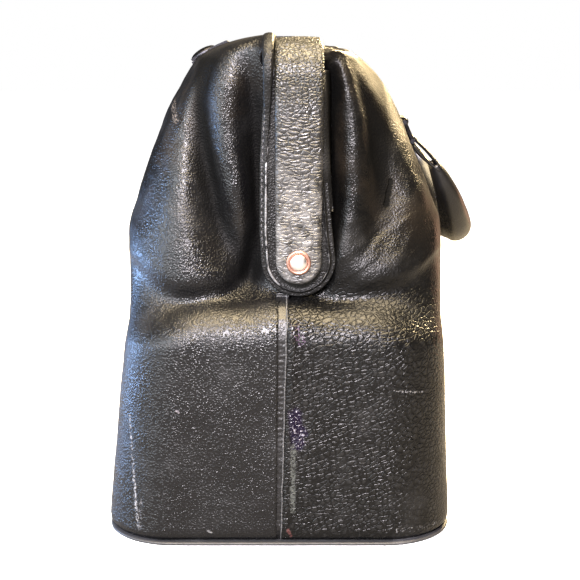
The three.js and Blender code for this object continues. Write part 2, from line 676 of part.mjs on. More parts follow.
// The hole in the front leather that the lock stands in.
const [roomX, roomY] = [LOCK.length / 2 + 1, LOCK.depth / 2 + 1];
const lockRoom = turnedForward(
  atTop(-roomX, -roomY, LOCK.inner - 0.6, roomX, roomY, LOCK.outer + 20),
  LOCK.angle,
);
add("front_frame_bar", frameBar(FRONT_FRAME, FRONT_END_RADIUS), steel);
add("front_frame_cover", frameCover(FRONT_FRAME, FRONT_END_RADIUS, flare()), black);
add("front_edge_binding", edgeBinding(), black);
add("front_upper_leather", upperLeather(-1, FRONT_PROFILE, 0).subtract(lockRoom), softBlack);
add("rear_frame_bar", frameBar(REAR_FRAME, REAR_END_RADIUS), steel);
add("rear_frame_cover", frameCover(REAR_FRAME, REAR_END_RADIUS, null), black);
add("rear_upper_leather", upperLeather(1, REAR_PROFILE, FLARE_CLEAR), softBlack);

const washerFace = REAR_FRAME.span + REAR_FRAME.thick / 2 + GAP;
const burrFace = FRONT_FRAME.span - FRONT_FRAME.thick / 2 - GAP - BURR.thick;
for (const [side, end] of [["right", 1], ["left", -1]]) {
  add(`hinge_rivet_${side}`, hingeHead(end), nickel);
  add(`hinge_washer_${side}`, hingeRing(end, washerFace, RIVET.washerThick, RIVET.washer), copper);
  add(`hinge_burr_${side}`, hingeRing(end, burrFace, BURR.thick, BURR.radius), copper);
  add(`handle_chape_${side}`, chape(end * HANDLE_X), black);
  add(`chape_rivet_${side}`, chapeRivet(end * HANDLE_X), gunmetal);
  add(`handle_ring_${side}`, handleRing(end * HANDLE_X), gunmetal);
  add(`handle_end_${side}`, handleEnd(end), black);
}

add("lock_case", lockCase(), gunmetal);
add("lock_bolt", lockBolt(), gunmetal);
add("hasp_anchor", haspAnchor(), gunmetal);
add("hasp_pin", haspPin(), gunmetal);
add("hasp_plate", haspPlate(), gunmetal);
add("handle_grip", handleGrip(), black);
add("handle_core", handleCore(), cord);

export default bag;
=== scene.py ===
"""The looks of the leather doctor bag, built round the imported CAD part.

Lengths are in mm. Those of the stage (camera, lights and floor), and the places that a material reads along an
axis, are in metres.
"""

import json
import math

import bmesh
import bpy
import numpy as np
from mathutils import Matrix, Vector, noise

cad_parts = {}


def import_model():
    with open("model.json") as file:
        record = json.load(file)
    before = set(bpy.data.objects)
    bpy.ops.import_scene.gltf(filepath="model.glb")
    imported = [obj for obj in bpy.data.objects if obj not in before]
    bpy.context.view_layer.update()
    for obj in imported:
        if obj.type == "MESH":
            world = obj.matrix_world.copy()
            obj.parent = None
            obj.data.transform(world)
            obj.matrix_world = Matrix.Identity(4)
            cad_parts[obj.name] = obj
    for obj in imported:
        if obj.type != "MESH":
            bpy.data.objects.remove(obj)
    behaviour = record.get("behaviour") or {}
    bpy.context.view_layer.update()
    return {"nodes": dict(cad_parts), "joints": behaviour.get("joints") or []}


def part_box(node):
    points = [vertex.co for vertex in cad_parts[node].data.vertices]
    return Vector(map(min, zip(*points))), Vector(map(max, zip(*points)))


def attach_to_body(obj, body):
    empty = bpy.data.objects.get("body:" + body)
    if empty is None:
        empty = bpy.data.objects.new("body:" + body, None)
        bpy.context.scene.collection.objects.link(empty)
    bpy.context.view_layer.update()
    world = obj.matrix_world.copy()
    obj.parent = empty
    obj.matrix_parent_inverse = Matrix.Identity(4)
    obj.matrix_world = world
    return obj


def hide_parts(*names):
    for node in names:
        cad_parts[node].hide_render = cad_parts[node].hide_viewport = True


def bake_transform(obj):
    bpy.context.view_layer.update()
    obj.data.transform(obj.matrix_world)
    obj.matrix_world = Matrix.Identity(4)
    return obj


MM = 0.001
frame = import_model()


# ---------------------------------------------------------------- what the frame gives
def corners(node):
    """The lowest and highest corner of a CAD node, in mm."""
    low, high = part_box(node)
    return np.array(low) / MM, np.array(high) / MM


def joint_place(name):
    """Where a joint's axis is, in mm."""
    found = [j for j in frame["joints"] if j["name"] == name]
    return np.array(found[0]["pos_m"]) / MM


def box_levels(node):
    """Half length, half width and corner radius of the lower box at each height, read from a CAD panel."""
    co = np.array([v.co for v in frame["nodes"][node].data.vertices]) / MM
    levels = []
    for z in sorted({round(float(c), 1) for c in co[:, 2]}):
        ring = co[np.abs(co[:, 2] - z) < 0.06]
        length = ring[:, 0].max()
        width = np.abs(ring[:, 1]).max()
        straight = np.abs(ring[ring[:, 0] > length - 0.05, 1]).max()
        levels.append((z, length, width, width - straight))
    return rounded_levels(np.array(levels))


LARGEST_ROUNDING = 4.0


def rounded_levels(levels):
    """The same levels every half millimetre, with the corners of their profile rounded above the foot."""
    z = np.arange(levels[0, 0], levels[-1, 0] + 0.01, 0.5)
    fine = np.stack([z] + [np.interp(z, levels[:, 0], levels[:, k]) for k in (1, 2, 3)], axis=1)
    soft = fine.copy()
    for n, height in enumerate(z):
        room = min(LARGEST_ROUNDING, (z[-1] - height) * 0.6, max(0.0, (height - 12) * 0.5))
        if room > 0.3:
            weight = np.exp(-(((z - height) / room) ** 2))
            soft[n, 1:] = (fine[:, 1:] * weight[:, None]).sum(axis=0) / weight.sum()
    return soft


LEVELS = box_levels("front_panel")
FOOT = {"top": 9.0, "turned": 3.0}  # the lowest part of the walls turns in to the base
_, PIVOT_Y, PIVOT_Z = joint_place("front_frame_hinge")
LEATHER = 2.0  # the thickness of the sheets
THIN_LEATHER = 0.9  # and of the seam bands and the webs


# ---------------------------------------------------------------- numbers
def smoothstep(low, high, x):
    """0 below low, 1 above high, and a smooth rise between them."""
    t = np.clip((np.asarray(x, float) - low) / (high - low), 0, 1)
    return t * t * (3 - 2 * t)


def spline(knots, values, at):
    """A natural cubic spline through the values at the knots, read at each place in `at`."""
    knots, values, at = (np.asarray(a, float) for a in (knots, values, at))
    count = len(knots)
    step = np.diff(knots)
    flat = values.reshape(count, -1)
    matrix = np.eye(count)
    right = np.zeros_like(flat)
    for i in range(1, count - 1):
        matrix[i, i - 1 : i + 2] = step[i - 1], 2 * (step[i - 1] + step[i]), step[i]
        right[i] = 6 * ((flat[i + 1] - flat[i]) / step[i] - (flat[i] - flat[i - 1]) / step[i - 1])
    bend = np.linalg.solve(matrix, right)
    cell = np.clip(np.searchsorted(knots, at, side="right") - 1, 0, count - 2)
    b = ((at - knots[cell]) / step[cell])[:, None]
    a = 1 - b
    h = step[cell][:, None] ** 2 / 6
    read = a * flat[cell] + b * flat[cell + 1]
    read += ((a**3 - a) * bend[cell] + (b**3 - b) * bend[cell + 1]) * h
    return read.reshape((len(at),) + values.shape[1:])


def fractal(points, size, octaves):
    """Smooth noise at each point, about -1 to 1, with features of the given size."""
    flat = np.asarray(points, float).reshape(-1, 3) / size
    read = [noise.fractal(Vector(p), 1.0, 2.0, octaves) for p in flat]
    return np.array(read).reshape(np.asarray(points).shape[:-1])


def ridged(points, size):
    """Noise that folds at zero, so that it makes sharp creases, 0 to 1."""
    return 1 - np.clip(np.abs(fractal(points, size, 2)) * 2.2, 0, 1)


def grid_normals(grid):
    """Unit normals of a grid of points."""
    along = np.gradient(grid, axis=0)
    across = np.gradient(grid, axis=1)
    normal = np.cross(along, across)
    return normal / np.maximum(np.linalg.norm(normal, axis=-1, keepdims=True), 1e-9)


# ---------------------------------------------------------------- meshes
def mesh_object(name, points, faces, material, weld=0.0):
    """A smooth mesh object from points in mm, with its faces turned outward."""
    mesh = bpy.data.meshes.new(name)
    mesh.from_pydata((np.asarray(points, float).reshape(-1, 3) * MM).tolist(), [], faces)
    work = bmesh.new()
    work.from_mesh(mesh)
    if weld:
        bmesh.ops.remove_doubles(work, verts=work.verts, dist=weld * MM)
    bmesh.ops.recalc_face_normals(work, faces=work.faces)
    work.to_mesh(mesh)
    work.free()
    mesh.materials.append(material)
    mesh.shade_smooth()
    obj = bpy.data.objects.new(name, mesh)
    bpy.context.scene.collection.objects.link(obj)
    return obj


def grid_faces(rows, columns, start=0, wrap=False):
    """The quads of a grid of points stored row by row."""
    faces = []
    for r in range(rows - 1):
        for c in range(columns if wrap else columns - 1):
            n = (c + 1) % columns
            faces.append((start + r * columns + c, start + r * columns + n,
                          start + (r + 1) * columns + n, start + (r + 1) * columns + c))
    return faces


def tube(name, rings, material):
    """A closed tube through rings of points, with a flat face on each end."""
    rings = np.asarray(rings)
    rows, sides = rings.shape[:2]
    faces = grid_faces(rows, sides, wrap=True)
    faces += [tuple(range(sides)), tuple((rows - 1) * sides + c for c in range(sides))]
    return mesh_object(name, rings, faces, material)


def circle(count):
    """The cosine and sine of `count` angles evenly round a circle."""
    turn = np.arange(count) * 2 * math.pi / count
    return np.cos(turn), np.sin(turn)


def squared(wave, power):
    """A wave between -1 and 1 whose shape is made squarer by a power below 1."""
    return np.sign(wave) * np.abs(wave) ** power


def unit(vectors):
    """Vectors along the last axis, scaled to a length of 1."""
    return vectors / np.linalg.norm(vectors, axis=-1, keepdims=True)


def distance_along(line, pace=1.0):
    """How far each point is along a line, with the length of each step raised to the power `pace`."""
    return np.concatenate([[0], np.cumsum(np.linalg.norm(np.diff(line, axis=0), axis=1) ** pace)])


def attach(obj, body, slot, *nodes):
    """Rides a piece on a body, in place of the CAD nodes named. `slot` is not used."""
    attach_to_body(obj, body)
    if nodes:
        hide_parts(*nodes)
    return obj


def thick_sheet(name, grid, inward, thick, material):
    """A closed sheet: the grid is its outside, and its inside is `thick` further along the inward normals."""
    rows, columns, _ = grid.shape
    count = rows * columns
    points = np.concatenate([grid.reshape(-1, 3), (grid + inward * thick).reshape(-1, 3)])
    faces = grid_faces(rows, columns) + grid_faces(rows, columns, count)
    rim = list(range(columns))
    rim += [r * columns + columns - 1 for r in range(1, rows)]
    rim += [(rows - 1) * columns + c for c in range(columns - 2, -1, -1)]
    rim += [r * columns for r in range(rows - 2, 0, -1)]
    for a, b in zip(rim, rim[1:] + rim[:1]):
        faces.append((a, b, b + count, a + count))
    return mesh_object(name, points, faces, material)


def wire(name, line, radius, material):
    """A closed round rod along a line of points, with a radius for each point."""
    ahead = unit(np.gradient(line, axis=0))
    side = unit(np.cross(ahead, (0, 1.0, 0)))
    up = np.cross(side, ahead)
    cos, sin = circle(8)
    round_off = side[:, None] * cos[:, None] + up[:, None] * sin[:, None]
    return tube(name, line[:, None] + radius[:, None, None] * round_off, material)


def lathe(name, profile, centre, material, turned=1, upright=False):
    """A turned piece: profile is (reach, radius) from face to back, along X or, upright, along Z."""
    cos, sin = circle(48)
    rings = []
    for reach, radius in profile:
        a, b = radius * cos, radius * sin
        level = 0 * cos + turned * reach
        if upright:
            rings.append(np.stack([centre[0] + a, centre[1] + b, level], axis=1))
        else:
            rings.append(np.stack([level, centre[1] + a, centre[2] + b], axis=1))
    return tube(name, rings, material)


# How deep a stitch lies, how far to each side of it the line's direction is read, and the points of its mesh
STITCH = {"sink": 0.15, "look": 0.4, "sides": 8, "rings": 7}
# The pitch, length and radius of each kind of stitch
SEWN = {
    "flange": (3.3, 2.2, 0.34),
    "lip": (3.3, 2.3, 0.36),
    "strap": (3.0, 2.1, 0.34),
    "grip": (3.2, 2.2, 0.40),
}


def read_along(at, reach, values):
    """Values known at each `reach` along a line, read at one place on it."""
    return np.array([np.interp(at, reach, values[:, k]) for k in range(3)])


def stitches(name, line, normal, kind):
    """A row of sewn stitches along a line of points, lying on a surface with the given normals."""
    pitch, length, radius = SEWN[kind]
    line, normal = np.asarray(line, float), np.asarray(normal, float)
    reach = distance_along(line)
    count = int(reach[-1] / pitch)
    sides, rings = STITCH["sides"], STITCH["rings"]
    points, faces = [], []
    for n in range(count):
        at = (n + 0.5) * reach[-1] / count
        middle = read_along(at, reach, line)
        up = unit(read_along(at, reach, normal))
        ahead, behind = (read_along(at + look, reach, line) for look in (STITCH["look"], -STITCH["look"]))
        along = unit(ahead - behind)
        across = np.cross(up, along)
        start = len(points)
        for r in range(rings):
            t = 2 * r / (rings - 1) - 1
            thick = radius * math.sqrt(max(0.02, 1 - abs(t) ** 3))
            hump = (0.35 - t * t) * radius - STITCH["sink"]
            for k in range(sides):
                turn = 2 * math.pi * k / sides
                offset = across * math.cos(turn) * thick + up * (math.sin(turn) * thick * 0.8 + hump)
                points.append(middle + along * t * length / 2 + offset)
        faces += grid_faces(rings, sides, start, wrap=True)
        faces.append(tuple(start + k for k in range(sides)))
        faces.append(tuple(start + (rings - 1) * sides + k for k in range(sides)))
    return mesh_object(name, points, faces, dark_thread)


# ---------------------------------------------------------------- shader helpers
class Shader:
    """A node material, with short calls for the nodes used here."""

    def __init__(self, name):
        self.material = bpy.data.materials.new(name)
        self.material.use_nodes = True
        self.tree = self.material.node_tree
        self.bsdf = self.tree.nodes["Principled BSDF"]
        self.place = self.node("ShaderNodeTexCoord").outputs["Object"]

    def node(self, kind, **inputs):
        made = self.tree.nodes.new(kind)
        for key, value in inputs.items():
            self.put(made, key, value)
        return made

    def put(self, node, key, value):
        socket = node.inputs[int(key[1:])] if key[0] == "_" and key[1:].isdigit() else node.inputs[key]
        if isinstance(value, bpy.types.NodeSocket):
            self.tree.links.new(value, socket)
        else:
            socket.default_value = value

    def math(self, operation, a, b=0.0, clamp=False):
        made = self.node("ShaderNodeMath", _0=a, _1=b, _2=0.0)
        made.operation = operation
        made.use_clamp = clamp
        return made.outputs[0]

    def plus(self, a, b):
        return self.math("ADD", a, b)

    def times(self, a, b):
        return self.math("MULTIPLY", a, b)

    def scaled(self, scale, place=None):
        """The place scaled to cells per metre, alike along each axis or by three numbers."""
        sizes = (scale, scale, scale) if isinstance(scale, (int, float)) else scale
        return self.node("ShaderNodeMapping", Vector=place or self.place, Scale=sizes).outputs[0]

    def vector(self, operation, a, b=(0, 0, 0), scale=None, result=0):
        made = self.tree.nodes.new("ShaderNodeVectorMath")
        made.operation = operation
        self.put(made, "_0", a)
        if scale is None:
            self.put(made, "_1", b)
        else:
            self.put(made, "_3", scale)
        return made.outputs[result]

    def warped(self, size, reach):
        """The place pushed about by noise: `size` waves per metre, `reach` mm at most."""
        wobble = self.node("ShaderNodeTexNoise", Vector=self.place, Scale=size, Detail=2.0)
        push = self.vector("SCALE", wobble.outputs["Color"], scale=reach * MM)
        return self.vector("ADD", self.place, push)

    def stroke(self, start, stop, width, ragged):
        """1 along a mark between two (y, z) places in mm on the +X end, falling to 0 over `width` mm."""
        noisy = self.warped(500.0, ragged * 2)
        parts = self.node("ShaderNodeSeparateXYZ", Vector=noisy).outputs
        flat = self.node("ShaderNodeCombineXYZ", Y=parts[1], Z=parts[2]).outputs[0]
        shift = ragged * MM
        first = (0, start[0] * MM + shift, start[1] * MM + shift)
        reach = (0, (stop[0] - start[0]) * MM, (stop[1] - start[1]) * MM)
        away = self.vector("SUBTRACT", flat, first)
        length = max(reach[1] ** 2 + reach[2] ** 2, 1e-9)
        along = self.math("DIVIDE", self.vector("DOT_PRODUCT", away, reach, result=1), length, clamp=True)
        left = self.vector("SUBTRACT", away, self.vector("SCALE", reach, scale=along))
        gap = self.vector("LENGTH", left, result=1)
        mark = self.ramp(gap, width * MM * 0.45, width * MM, 1.0, 0.0)
        return self.times(mark, self.ramp(self.axis(0), 0.12, 0.13))

    def noise(self, vector, detail=3.0, rough=0.5):
        made = self.node("ShaderNodeTexNoise", Vector=vector, Scale=1.0, Detail=detail, Roughness=rough)
        return made.outputs["Fac"]

    def cells(self, vector, feature="F1", rand=1.0):
        """The distance in a pattern of cells, one cell to each unit of the vector."""
        made = self.node("ShaderNodeTexVoronoi", Vector=vector, Scale=1.0, Randomness=rand)
        made.feature = feature
        return made.outputs["Distance"]

    def ramp(self, value, low, high, out_low=0.0, out_high=1.0):
        made = self.node("ShaderNodeMapRange", _0=value, _1=low, _2=high, _3=out_low, _4=out_high)
        made.interpolation_type = "SMOOTHSTEP"
        return made.outputs[0]

    def mix(self, factor, a, b):
        made = self.tree.nodes.new("ShaderNodeMix")
        made.data_type = "RGBA"
        self.put(made, "_0", factor)
        self.put(made, "_6", a)
        self.put(made, "_7", b)
        return made.outputs[2]

    def axis(self, index):
        return self.node("ShaderNodeSeparateXYZ", Vector=self.place).outputs[index]

    def band(self, value, low, high, soft):
        """1 between low and high, falling to 0 over `soft` on either side."""
        rise = self.ramp(value, low - soft, low)
        fall = self.ramp(value, high, high + soft, 1.0, 0.0)
        return self.times(rise, fall)

    def bump(self, height, distance, strength=1.0, normal=None):
        made = self.node("ShaderNodeBump", Height=height, Distance=distance, Strength=strength)
        if normal is not None:
            self.put(made, "Normal", normal)
        return made.outputs[0]

    def set(self, **inputs):
        for key, value in inputs.items():
            self.put(self.bsdf, key.replace("_", " "), value)
        return self.material


def rgb(r, g, b):
    return (r, g, b, 1.0)


# ---------------------------------------------------------------- materials
def leather(name, grain, rough, relief, colour=(0.006, 0.006, 0.006), shine=0.5, marks=(), tint=None,
            folds=None, rubbed=(0.35, 0.022)):
    """Black leather: grain(shader) gives a height of 0 to 1 whose full depth is `relief` mm.

    Each mark is (mask, colour, roughness, height) and lies over the leather where its mask is 1.
    `folds` paints shade at the bottom of the folds in the ends: the colour is darkened there, and the leather
    made rougher and less shiny. It says how far out from the end seam and how high up they go, in mm. `rubbed`
    says how far the tops of the grain turn grey, and how grey.
    """
    sh = Shader(name)
    height = grain(sh)
    patches = sh.noise(sh.scaled(38), 4.0, 0.55)
    fine = sh.noise(sh.scaled(900), 2.0)
    worn = sh.ramp(patches, 0.52, 0.72)
    tops = sh.ramp(height, 0.5, 0.9)
    base = sh.mix(worn, rgb(*colour), rgb(*(c * 1.9 + 0.004 for c in colour)))
    base = sh.mix(sh.times(tops, rubbed[0]), base, rgb(*[rubbed[1]] * 3))
    if tint:
        base = tint(sh, base)
    shade = sh.plus(sh.ramp(patches, 0.3, 0.75, rough - 0.06, rough + 0.1), sh.times(fine, 0.08))
    shade = sh.math("SUBTRACT", shade, sh.times(tops, 0.07))
    for mark in marks:
        mask, mark_colour, mark_rough, step = mark(sh)
        base = sh.mix(mask, base, rgb(*mark_colour))
        shade = sh.plus(shade, sh.times(mask, mark_rough - rough))
        height = sh.plus(height, sh.times(mask, step / relief))
    # painted shade: the bottom of the folds is darkened in colour, and made rougher and less shiny
    if folds:
        painted_fold_shade = fold_shade_mask(sh, *folds)
        shade = sh.plus(shade, sh.times(painted_fold_shade, 0.25))
        base = sh.mix(painted_fold_shade, base, rgb(0.003, 0.003, 0.003))
        shine = sh.ramp(painted_fold_shade, 0.0, 1.0, shine, shine * 0.12)
    coarse = sh.bump(height, relief * MM)
    normal = sh.bump(fine, 0.03 * MM, 0.6, coarse)
    return sh.set(Base_Color=base, Roughness=shade, Normal=normal, Specular_IOR_Level=shine)


def fold_shade_mask(sh, reach, top):
    """1 at the bottom of the folds beside the frames' ends, where shade is painted into the leather."""
    x, y = (sh.math("ABSOLUTE", sh.axis(k)) for k in (0, 1))
    deep = sh.ramp(x, 0.155, 0.165, 1.0, 0.0)
    near = sh.ramp(y, (reach - 8) * MM, reach * MM, 1.0, 0.0)
    level = sh.band(sh.axis(2), 0.140, top * MM, 0.008)
    return sh.times(sh.times(deep, near), level)


def scar(start, stop, width, colour, rough, step, ragged=0.6, broken=0.0):
    """A scratch, tear or rub between two (y, z) places on the +X end, all in mm.

    `step` is how far it stands up, `ragged` how far it wanders, and `broken` the share of it that is missing.
    """
    def mark(sh):
        mask = sh.stroke(start, stop, width, ragged)
        if broken:
            gaps = sh.noise(sh.scaled(900), 3.0, 0.7)
            mask = sh.times(mask, sh.ramp(gaps, broken, broken + 0.08))
        return mask, colour, rough, step
    return mark


def speckle(sh):
    """Tiny uneven domes with pits between them."""
    cells = sh.cells(sh.scaled(900, place=sh.warped(300.0, 1.6)))
    pits = sh.noise(sh.scaled(700), 3.0, 0.6)
    dome = sh.ramp(cells, 0.15, 0.7, 1.0, 0.0)
    return sh.plus(sh.times(dome, 0.55), sh.times(pits, 0.5))


# The size of the box's pebbles along X, Y and Z, in mm, and the angle at which they rise to the rear
PEBBLE = {"size": (3.4, 3.3, 2.2), "lean": 0.40}


def pebbles(sh):
    """Rounded pebbles that rise to the rear, giving way to fine grain above the shoulder."""
    bent = sh.warped(150.0, 2.4)
    turned = sh.node("ShaderNodeVectorRotate", Vector=bent, Angle=-PEBBLE["lean"], Axis=(1, 0, 0))
    turned.rotation_type = "AXIS_ANGLE"
    per_metre = tuple(1000 / size for size in PEBBLE["size"])
    edge = sh.cells(sh.scaled(per_metre, place=turned.outputs[0]), "DISTANCE_TO_EDGE")
    dome = sh.plus(sh.ramp(edge, 0.0, 0.18, 0.0, 0.7), sh.ramp(edge, 0.05, 0.5, 0.0, 0.3))
    upper = sh.ramp(sh.axis(2), 0.120, 0.150, 1.0, 0.25)
    low = sh.times(dome, sh.times(upper, 0.7))
    high = sh.times(speckle(sh), sh.ramp(sh.axis(2), 0.120, 0.150, 0.25, 0.5))
    return sh.plus(low, high)


def strap_grain(sh):
    """Wavy wrinkles across the strap on the lower arm, and small pebbles above."""
    bent = sh.warped(170.0, 3.0)
    edge = sh.cells(sh.scaled((200, 200, 520), place=bent), "DISTANCE_TO_EDGE", 0.85)
    wrinkle = sh.plus(sh.ramp(edge, 0.0, 0.16, 0.0, 0.6), sh.ramp(edge, 0.05, 0.5, 0.0, 0.4))
    small_cells = sh.cells(sh.scaled((460, 460, 600), place=bent), "DISTANCE_TO_EDGE")
    pebble = sh.ramp(small_cells, 0.0, 0.26, 0.05, 0.9)
    share = sh.ramp(sh.axis(2), 0.218, 0.240)
    mixed = sh.mix(share, wrinkle, pebble)
    pits = sh.noise(sh.scaled(800), 3.0, 0.6)
    return sh.plus(sh.times(mixed, 0.8), sh.times(pits, 0.2))


def plain_metal(name, colour, rough):
    """Metal with fine scratches along X and duller stains."""
    sh = Shader(name)
    marks = sh.noise(sh.scaled((220, 1400, 1400)), 3.0, 0.6)
    stains = sh.noise(sh.scaled(160), 3.0)
    shade = sh.plus(sh.ramp(stains, 0.3, 0.8, rough - 0.05, rough + 0.12), sh.times(marks, 0.08))
    base = sh.mix(sh.ramp(stains, 0.45, 0.8), rgb(*colour), rgb(*(c * 0.8 for c in colour)))
    return sh.set(Base_Color=base, Metallic=1.0, Roughness=shade, Normal=sh.bump(marks, 0.03 * MM))


def woven(name, colour, pitch):
    """Plain woven cloth: two sets of threads."""
    sh = Shader(name)
    x, y, z = (sh.math("SINE", sh.times(sh.axis(k), 2 * math.pi * 1000 / pitch)) for k in range(3))
    height = sh.plus(sh.times(sh.plus(x, y), z), 1.5)
    fuzz = sh.noise(sh.scaled(400), 4.0)
    base = sh.mix(sh.ramp(fuzz, 0.3, 0.7), rgb(*colour), rgb(*(c * 1.5 for c in colour)))
    return sh.set(Base_Color=base, Roughness=0.9, Normal=sh.bump(height, 0.12 * MM), Specular_IOR_Level=0.2,
                  Sheen_Weight=0.3)


def fibreboard():
    """Brown pressed board with fibres."""
    sh = Shader("pressed_board")
    fibres = sh.noise(sh.scaled((300, 300, 900)), 5.0, 0.65)
    base = sh.mix(sh.ramp(fibres, 0.3, 0.7), rgb(0.24, 0.17, 0.10), rgb(0.36, 0.27, 0.17))
    return sh.set(Base_Color=base, Roughness=0.85, Normal=sh.bump(fibres, 0.1 * MM))


def thread(name, colour):
    """Twisted thread or cord."""
    sh = Shader(name)
    twist = sh.noise(sh.scaled(2500), 2.0)
    base = sh.mix(sh.ramp(twist, 0.35, 0.65), rgb(*colour), rgb(*(c * 2.2 for c in colour)))
    return sh.set(Base_Color=base, Roughness=0.55, Normal=sh.bump(twist, 0.08 * MM))


# ---------------------------------------------------------------- leather over the box and up to the frames
# Each rail runs up the sheet from a place this far round the box from the end seam, in mm. The last is the
# middle of a side.
RAILS = (0, 12, 22, 31, 41, 55, 80, 100, 160, 259.5)
BOX_ROWS = (112, 118, 123, 127, 130)
UPPER_ROWS = (134, 141, 150, 175, 200, 225, 245, 258, 272, 290)

# The folds of each sheet: (x, y, z) of every rail at each upper row, from the crease to the frame's edge.
# Rails 2 and 3 are the two shoulders of the ridge beside the frame, and rail 4 is the valley beyond it.
FRONT_FOLDS = (
    ((171, -1, 131.5), (170.5, -12, 131.5), (170.5, -22, 131.5), (171, -31, 131.5), (171.5, -41, 131.8),
     (169.8, -55, 133.5), (159.8, -73, 141), (139, -84.4, 149), (92, -84.4, 144), (0, -84, 142)),
    ((166, -5, 138.5), (160, -13, 139), (155, -19, 139.5), (158, -24.5, 140), (166, -32, 140),
     (171.4, -48, 141), (163.5, -70, 149), (140.3, -84.6, 156), (91, -84.6, 151), (0, -84.3, 149)),
    ((166, -6, 150), (155, -13.5, 150), (152.5, -18.2, 150), (156, -22.4, 150), (161.5, -29, 150),
     (170.5, -45, 151), (166.5, -65.5, 156), (140, -84.6, 162), (90, -84.6, 157), (0, -84.2, 156)),
    ((166, -5, 175), (155, -15, 175), (163.5, -20.5, 175), (164.5, -26.5, 175), (156.5, -35.5, 175),
     (165, -49.5, 175), (162.5, -62.5, 175), (132, -81.6, 175), (85, -81.2, 175), (0, -80, 175)),
    ((167.5, -3, 200), (155, -16, 200), (165.5, -22.8, 200), (166, -31, 200), (154.5, -41, 200),
     (158.5, -51, 200), (153, -62, 200), (125, -74.2, 200), (80, -74, 200), (0, -71.5, 200)),
    ((167.5, -4, 225), (157, -17, 225), (165, -25.4, 225), (165, -34.6, 225), (153.5, -44.6, 225),
     (152.5, -51, 225), (144, -57.2, 225), (115, -64.6, 225), (72, -64, 225), (0, -61, 225)),
    ((167, -8, 243), (161, -18.5, 245), (164, -25, 245), (162.5, -33.5, 245), (153.5, -41, 245),
     (149.5, -45.2, 245), (139, -48.8, 245), (110, -54.4, 245), (62, -52.5, 245), (0, -48, 245)),
    ((166.5, -12.5, 252), (163.5, -19, 257), (162, -25, 257), (158.5, -31, 256.2), (151.5, -36.2, 255.6),
     (143, -40.3, 255.2), (130, -43, 255.5), (106, -46, 255.5), (52, -45, 255), (0, -41, 252.5)),
    ((170, -11.5, 258.5), (162.5, -14.5, 262.4), (160, -18, 262.6), (156.5, -21.3, 262.6),
     (150, -24.4, 262.4), (141, -26.4, 262.3), (127, -28, 262.4), (103, -29.5, 262.5), (50, -29, 262),
     (0, -27, 258)),
    ((172, -8, 263), (164, -8, 265.5), (161, -8, 266), (157, -8.1, 266), (149, -8.3, 266),
     (138, -8.6, 266), (125, -9, 266), (103, -9.5, 266), (50, -10, 266), (0, -10, 262)),
)
REAR_FOLDS = (
    ((171, 3, 131.5), (170.5, 13, 131.5), (170.5, 22, 131.5), (171.5, 31, 132), (171.5, 41, 133.5),
     (169.8, 56, 137.5), (160, 72.5, 145), (139.5, 84.4, 152), (92, 84.4, 146), (0, 84, 143)),
    ((167, 8, 139.5), (164, 18, 139.5), (168, 24, 140), (170.5, 31, 140.5), (172, 39, 141.5),
     (171.6, 51.5, 145), (164, 69.5, 152), (141.5, 84.4, 159), (91, 84.6, 152), (0, 84.3, 150)),
    ((167.5, 12, 150), (158.5, 21, 150), (169.5, 25.6, 150), (171.6, 32, 150), (172, 40, 151),
     (171, 51.5, 154), (165, 66.5, 159), (140.5, 83.8, 165), (90, 84.2, 158), (0, 83.6, 156)),
    ((167.5, 11, 175), (155, 23.6, 175), (168.5, 30.4, 175), (169.5, 38, 175), (161.5, 47, 175),
     (158, 55, 176), (155, 68, 177), (131, 81, 178), (85, 81, 176), (0, 80.5, 176)),
    ((167.5, 10, 200), (154, 23.6, 200), (166.5, 30, 200), (168, 38.4, 200), (157.5, 46, 200),
     (151.5, 52, 200), (148, 62, 200), (121, 72.8, 200), (80, 72.8, 200), (0, 72.4, 200)),
    ((167.5, 10, 225), (155, 23.6, 225), (165, 29.6, 225), (165.8, 37.4, 225), (156, 43, 225),
     (150.5, 47.6, 225), (142, 53.8, 225), (112, 62, 225), (72, 62.2, 225), (0, 61, 225)),
    ((167.5, 11, 243), (157, 24, 245), (163.5, 29.6, 245), (162, 33.4, 245), (157, 36.6, 245),
     (152, 39.8, 245), (142, 43.8, 245), (110, 49.8, 245), (62, 50, 245), (0, 48, 245)),
    ((168, 14, 251), (163.5, 23, 254), (161, 27.6, 254.8), (158, 31.2, 254.8), (153.5, 34, 254.8),
     (147, 35.6, 255), (137, 36.6, 255.6), (108, 37.2, 256.2), (58, 36.6, 255.4), (0, 36.4, 255.2)),
    ((168.5, 16, 256), (164, 22.6, 257.8), (161.5, 25.4, 258.2), (158, 27, 258.3), (153.5, 27.8, 258.3),
     (147, 28.2, 258.4), (137, 28.4, 258.6), (108, 28.6, 258.8), (58, 28.4, 257.8), (0, 28.4, 257.6)),
    ((167, 17, 260.5), (163, 17, 261), (160, 17, 261.2), (156.5, 17, 261.2), (152, 17, 261.2),
     (146, 17, 261.2), (136, 17, 261.2), (107, 17, 261.2), (57, 17, 261), (0, 17, 261)),
)
SEAM_EDGE = {"front": ((3, 4.6), (60, 4.0), (125, 3.4)), "rear": ((3, -2.0), (60, -0.6), (125, 1.1))}
# How far the shoulder has sunk at the end seam, how much more beside it, and how much more at the corners
SHOULDER_SAG = {"seam": 0.8, "beside": 2.8, "corner": 7.3}
LEAN = -3.4  # how far the foot of the box is pushed to the front
SWELL = 0.8  # and how much it is swollen out on both sides there
# How far from the hinges the front sheet may be under the hasp, and how much further beside it
HASP_REACH = {"middle": 109.6, "more": 12}
LINING = {"gap": 0.5, "thick": 0.8, "low": 108, "high": 285}
MIRROR = np.array([-1, 1, 1])


def box_size(z):
    """Half length, half width and corner radius of the box at each height."""
    return tuple(np.interp(z, LEVELS[:, 0], LEVELS[:, k]) for k in (1, 2, 3))


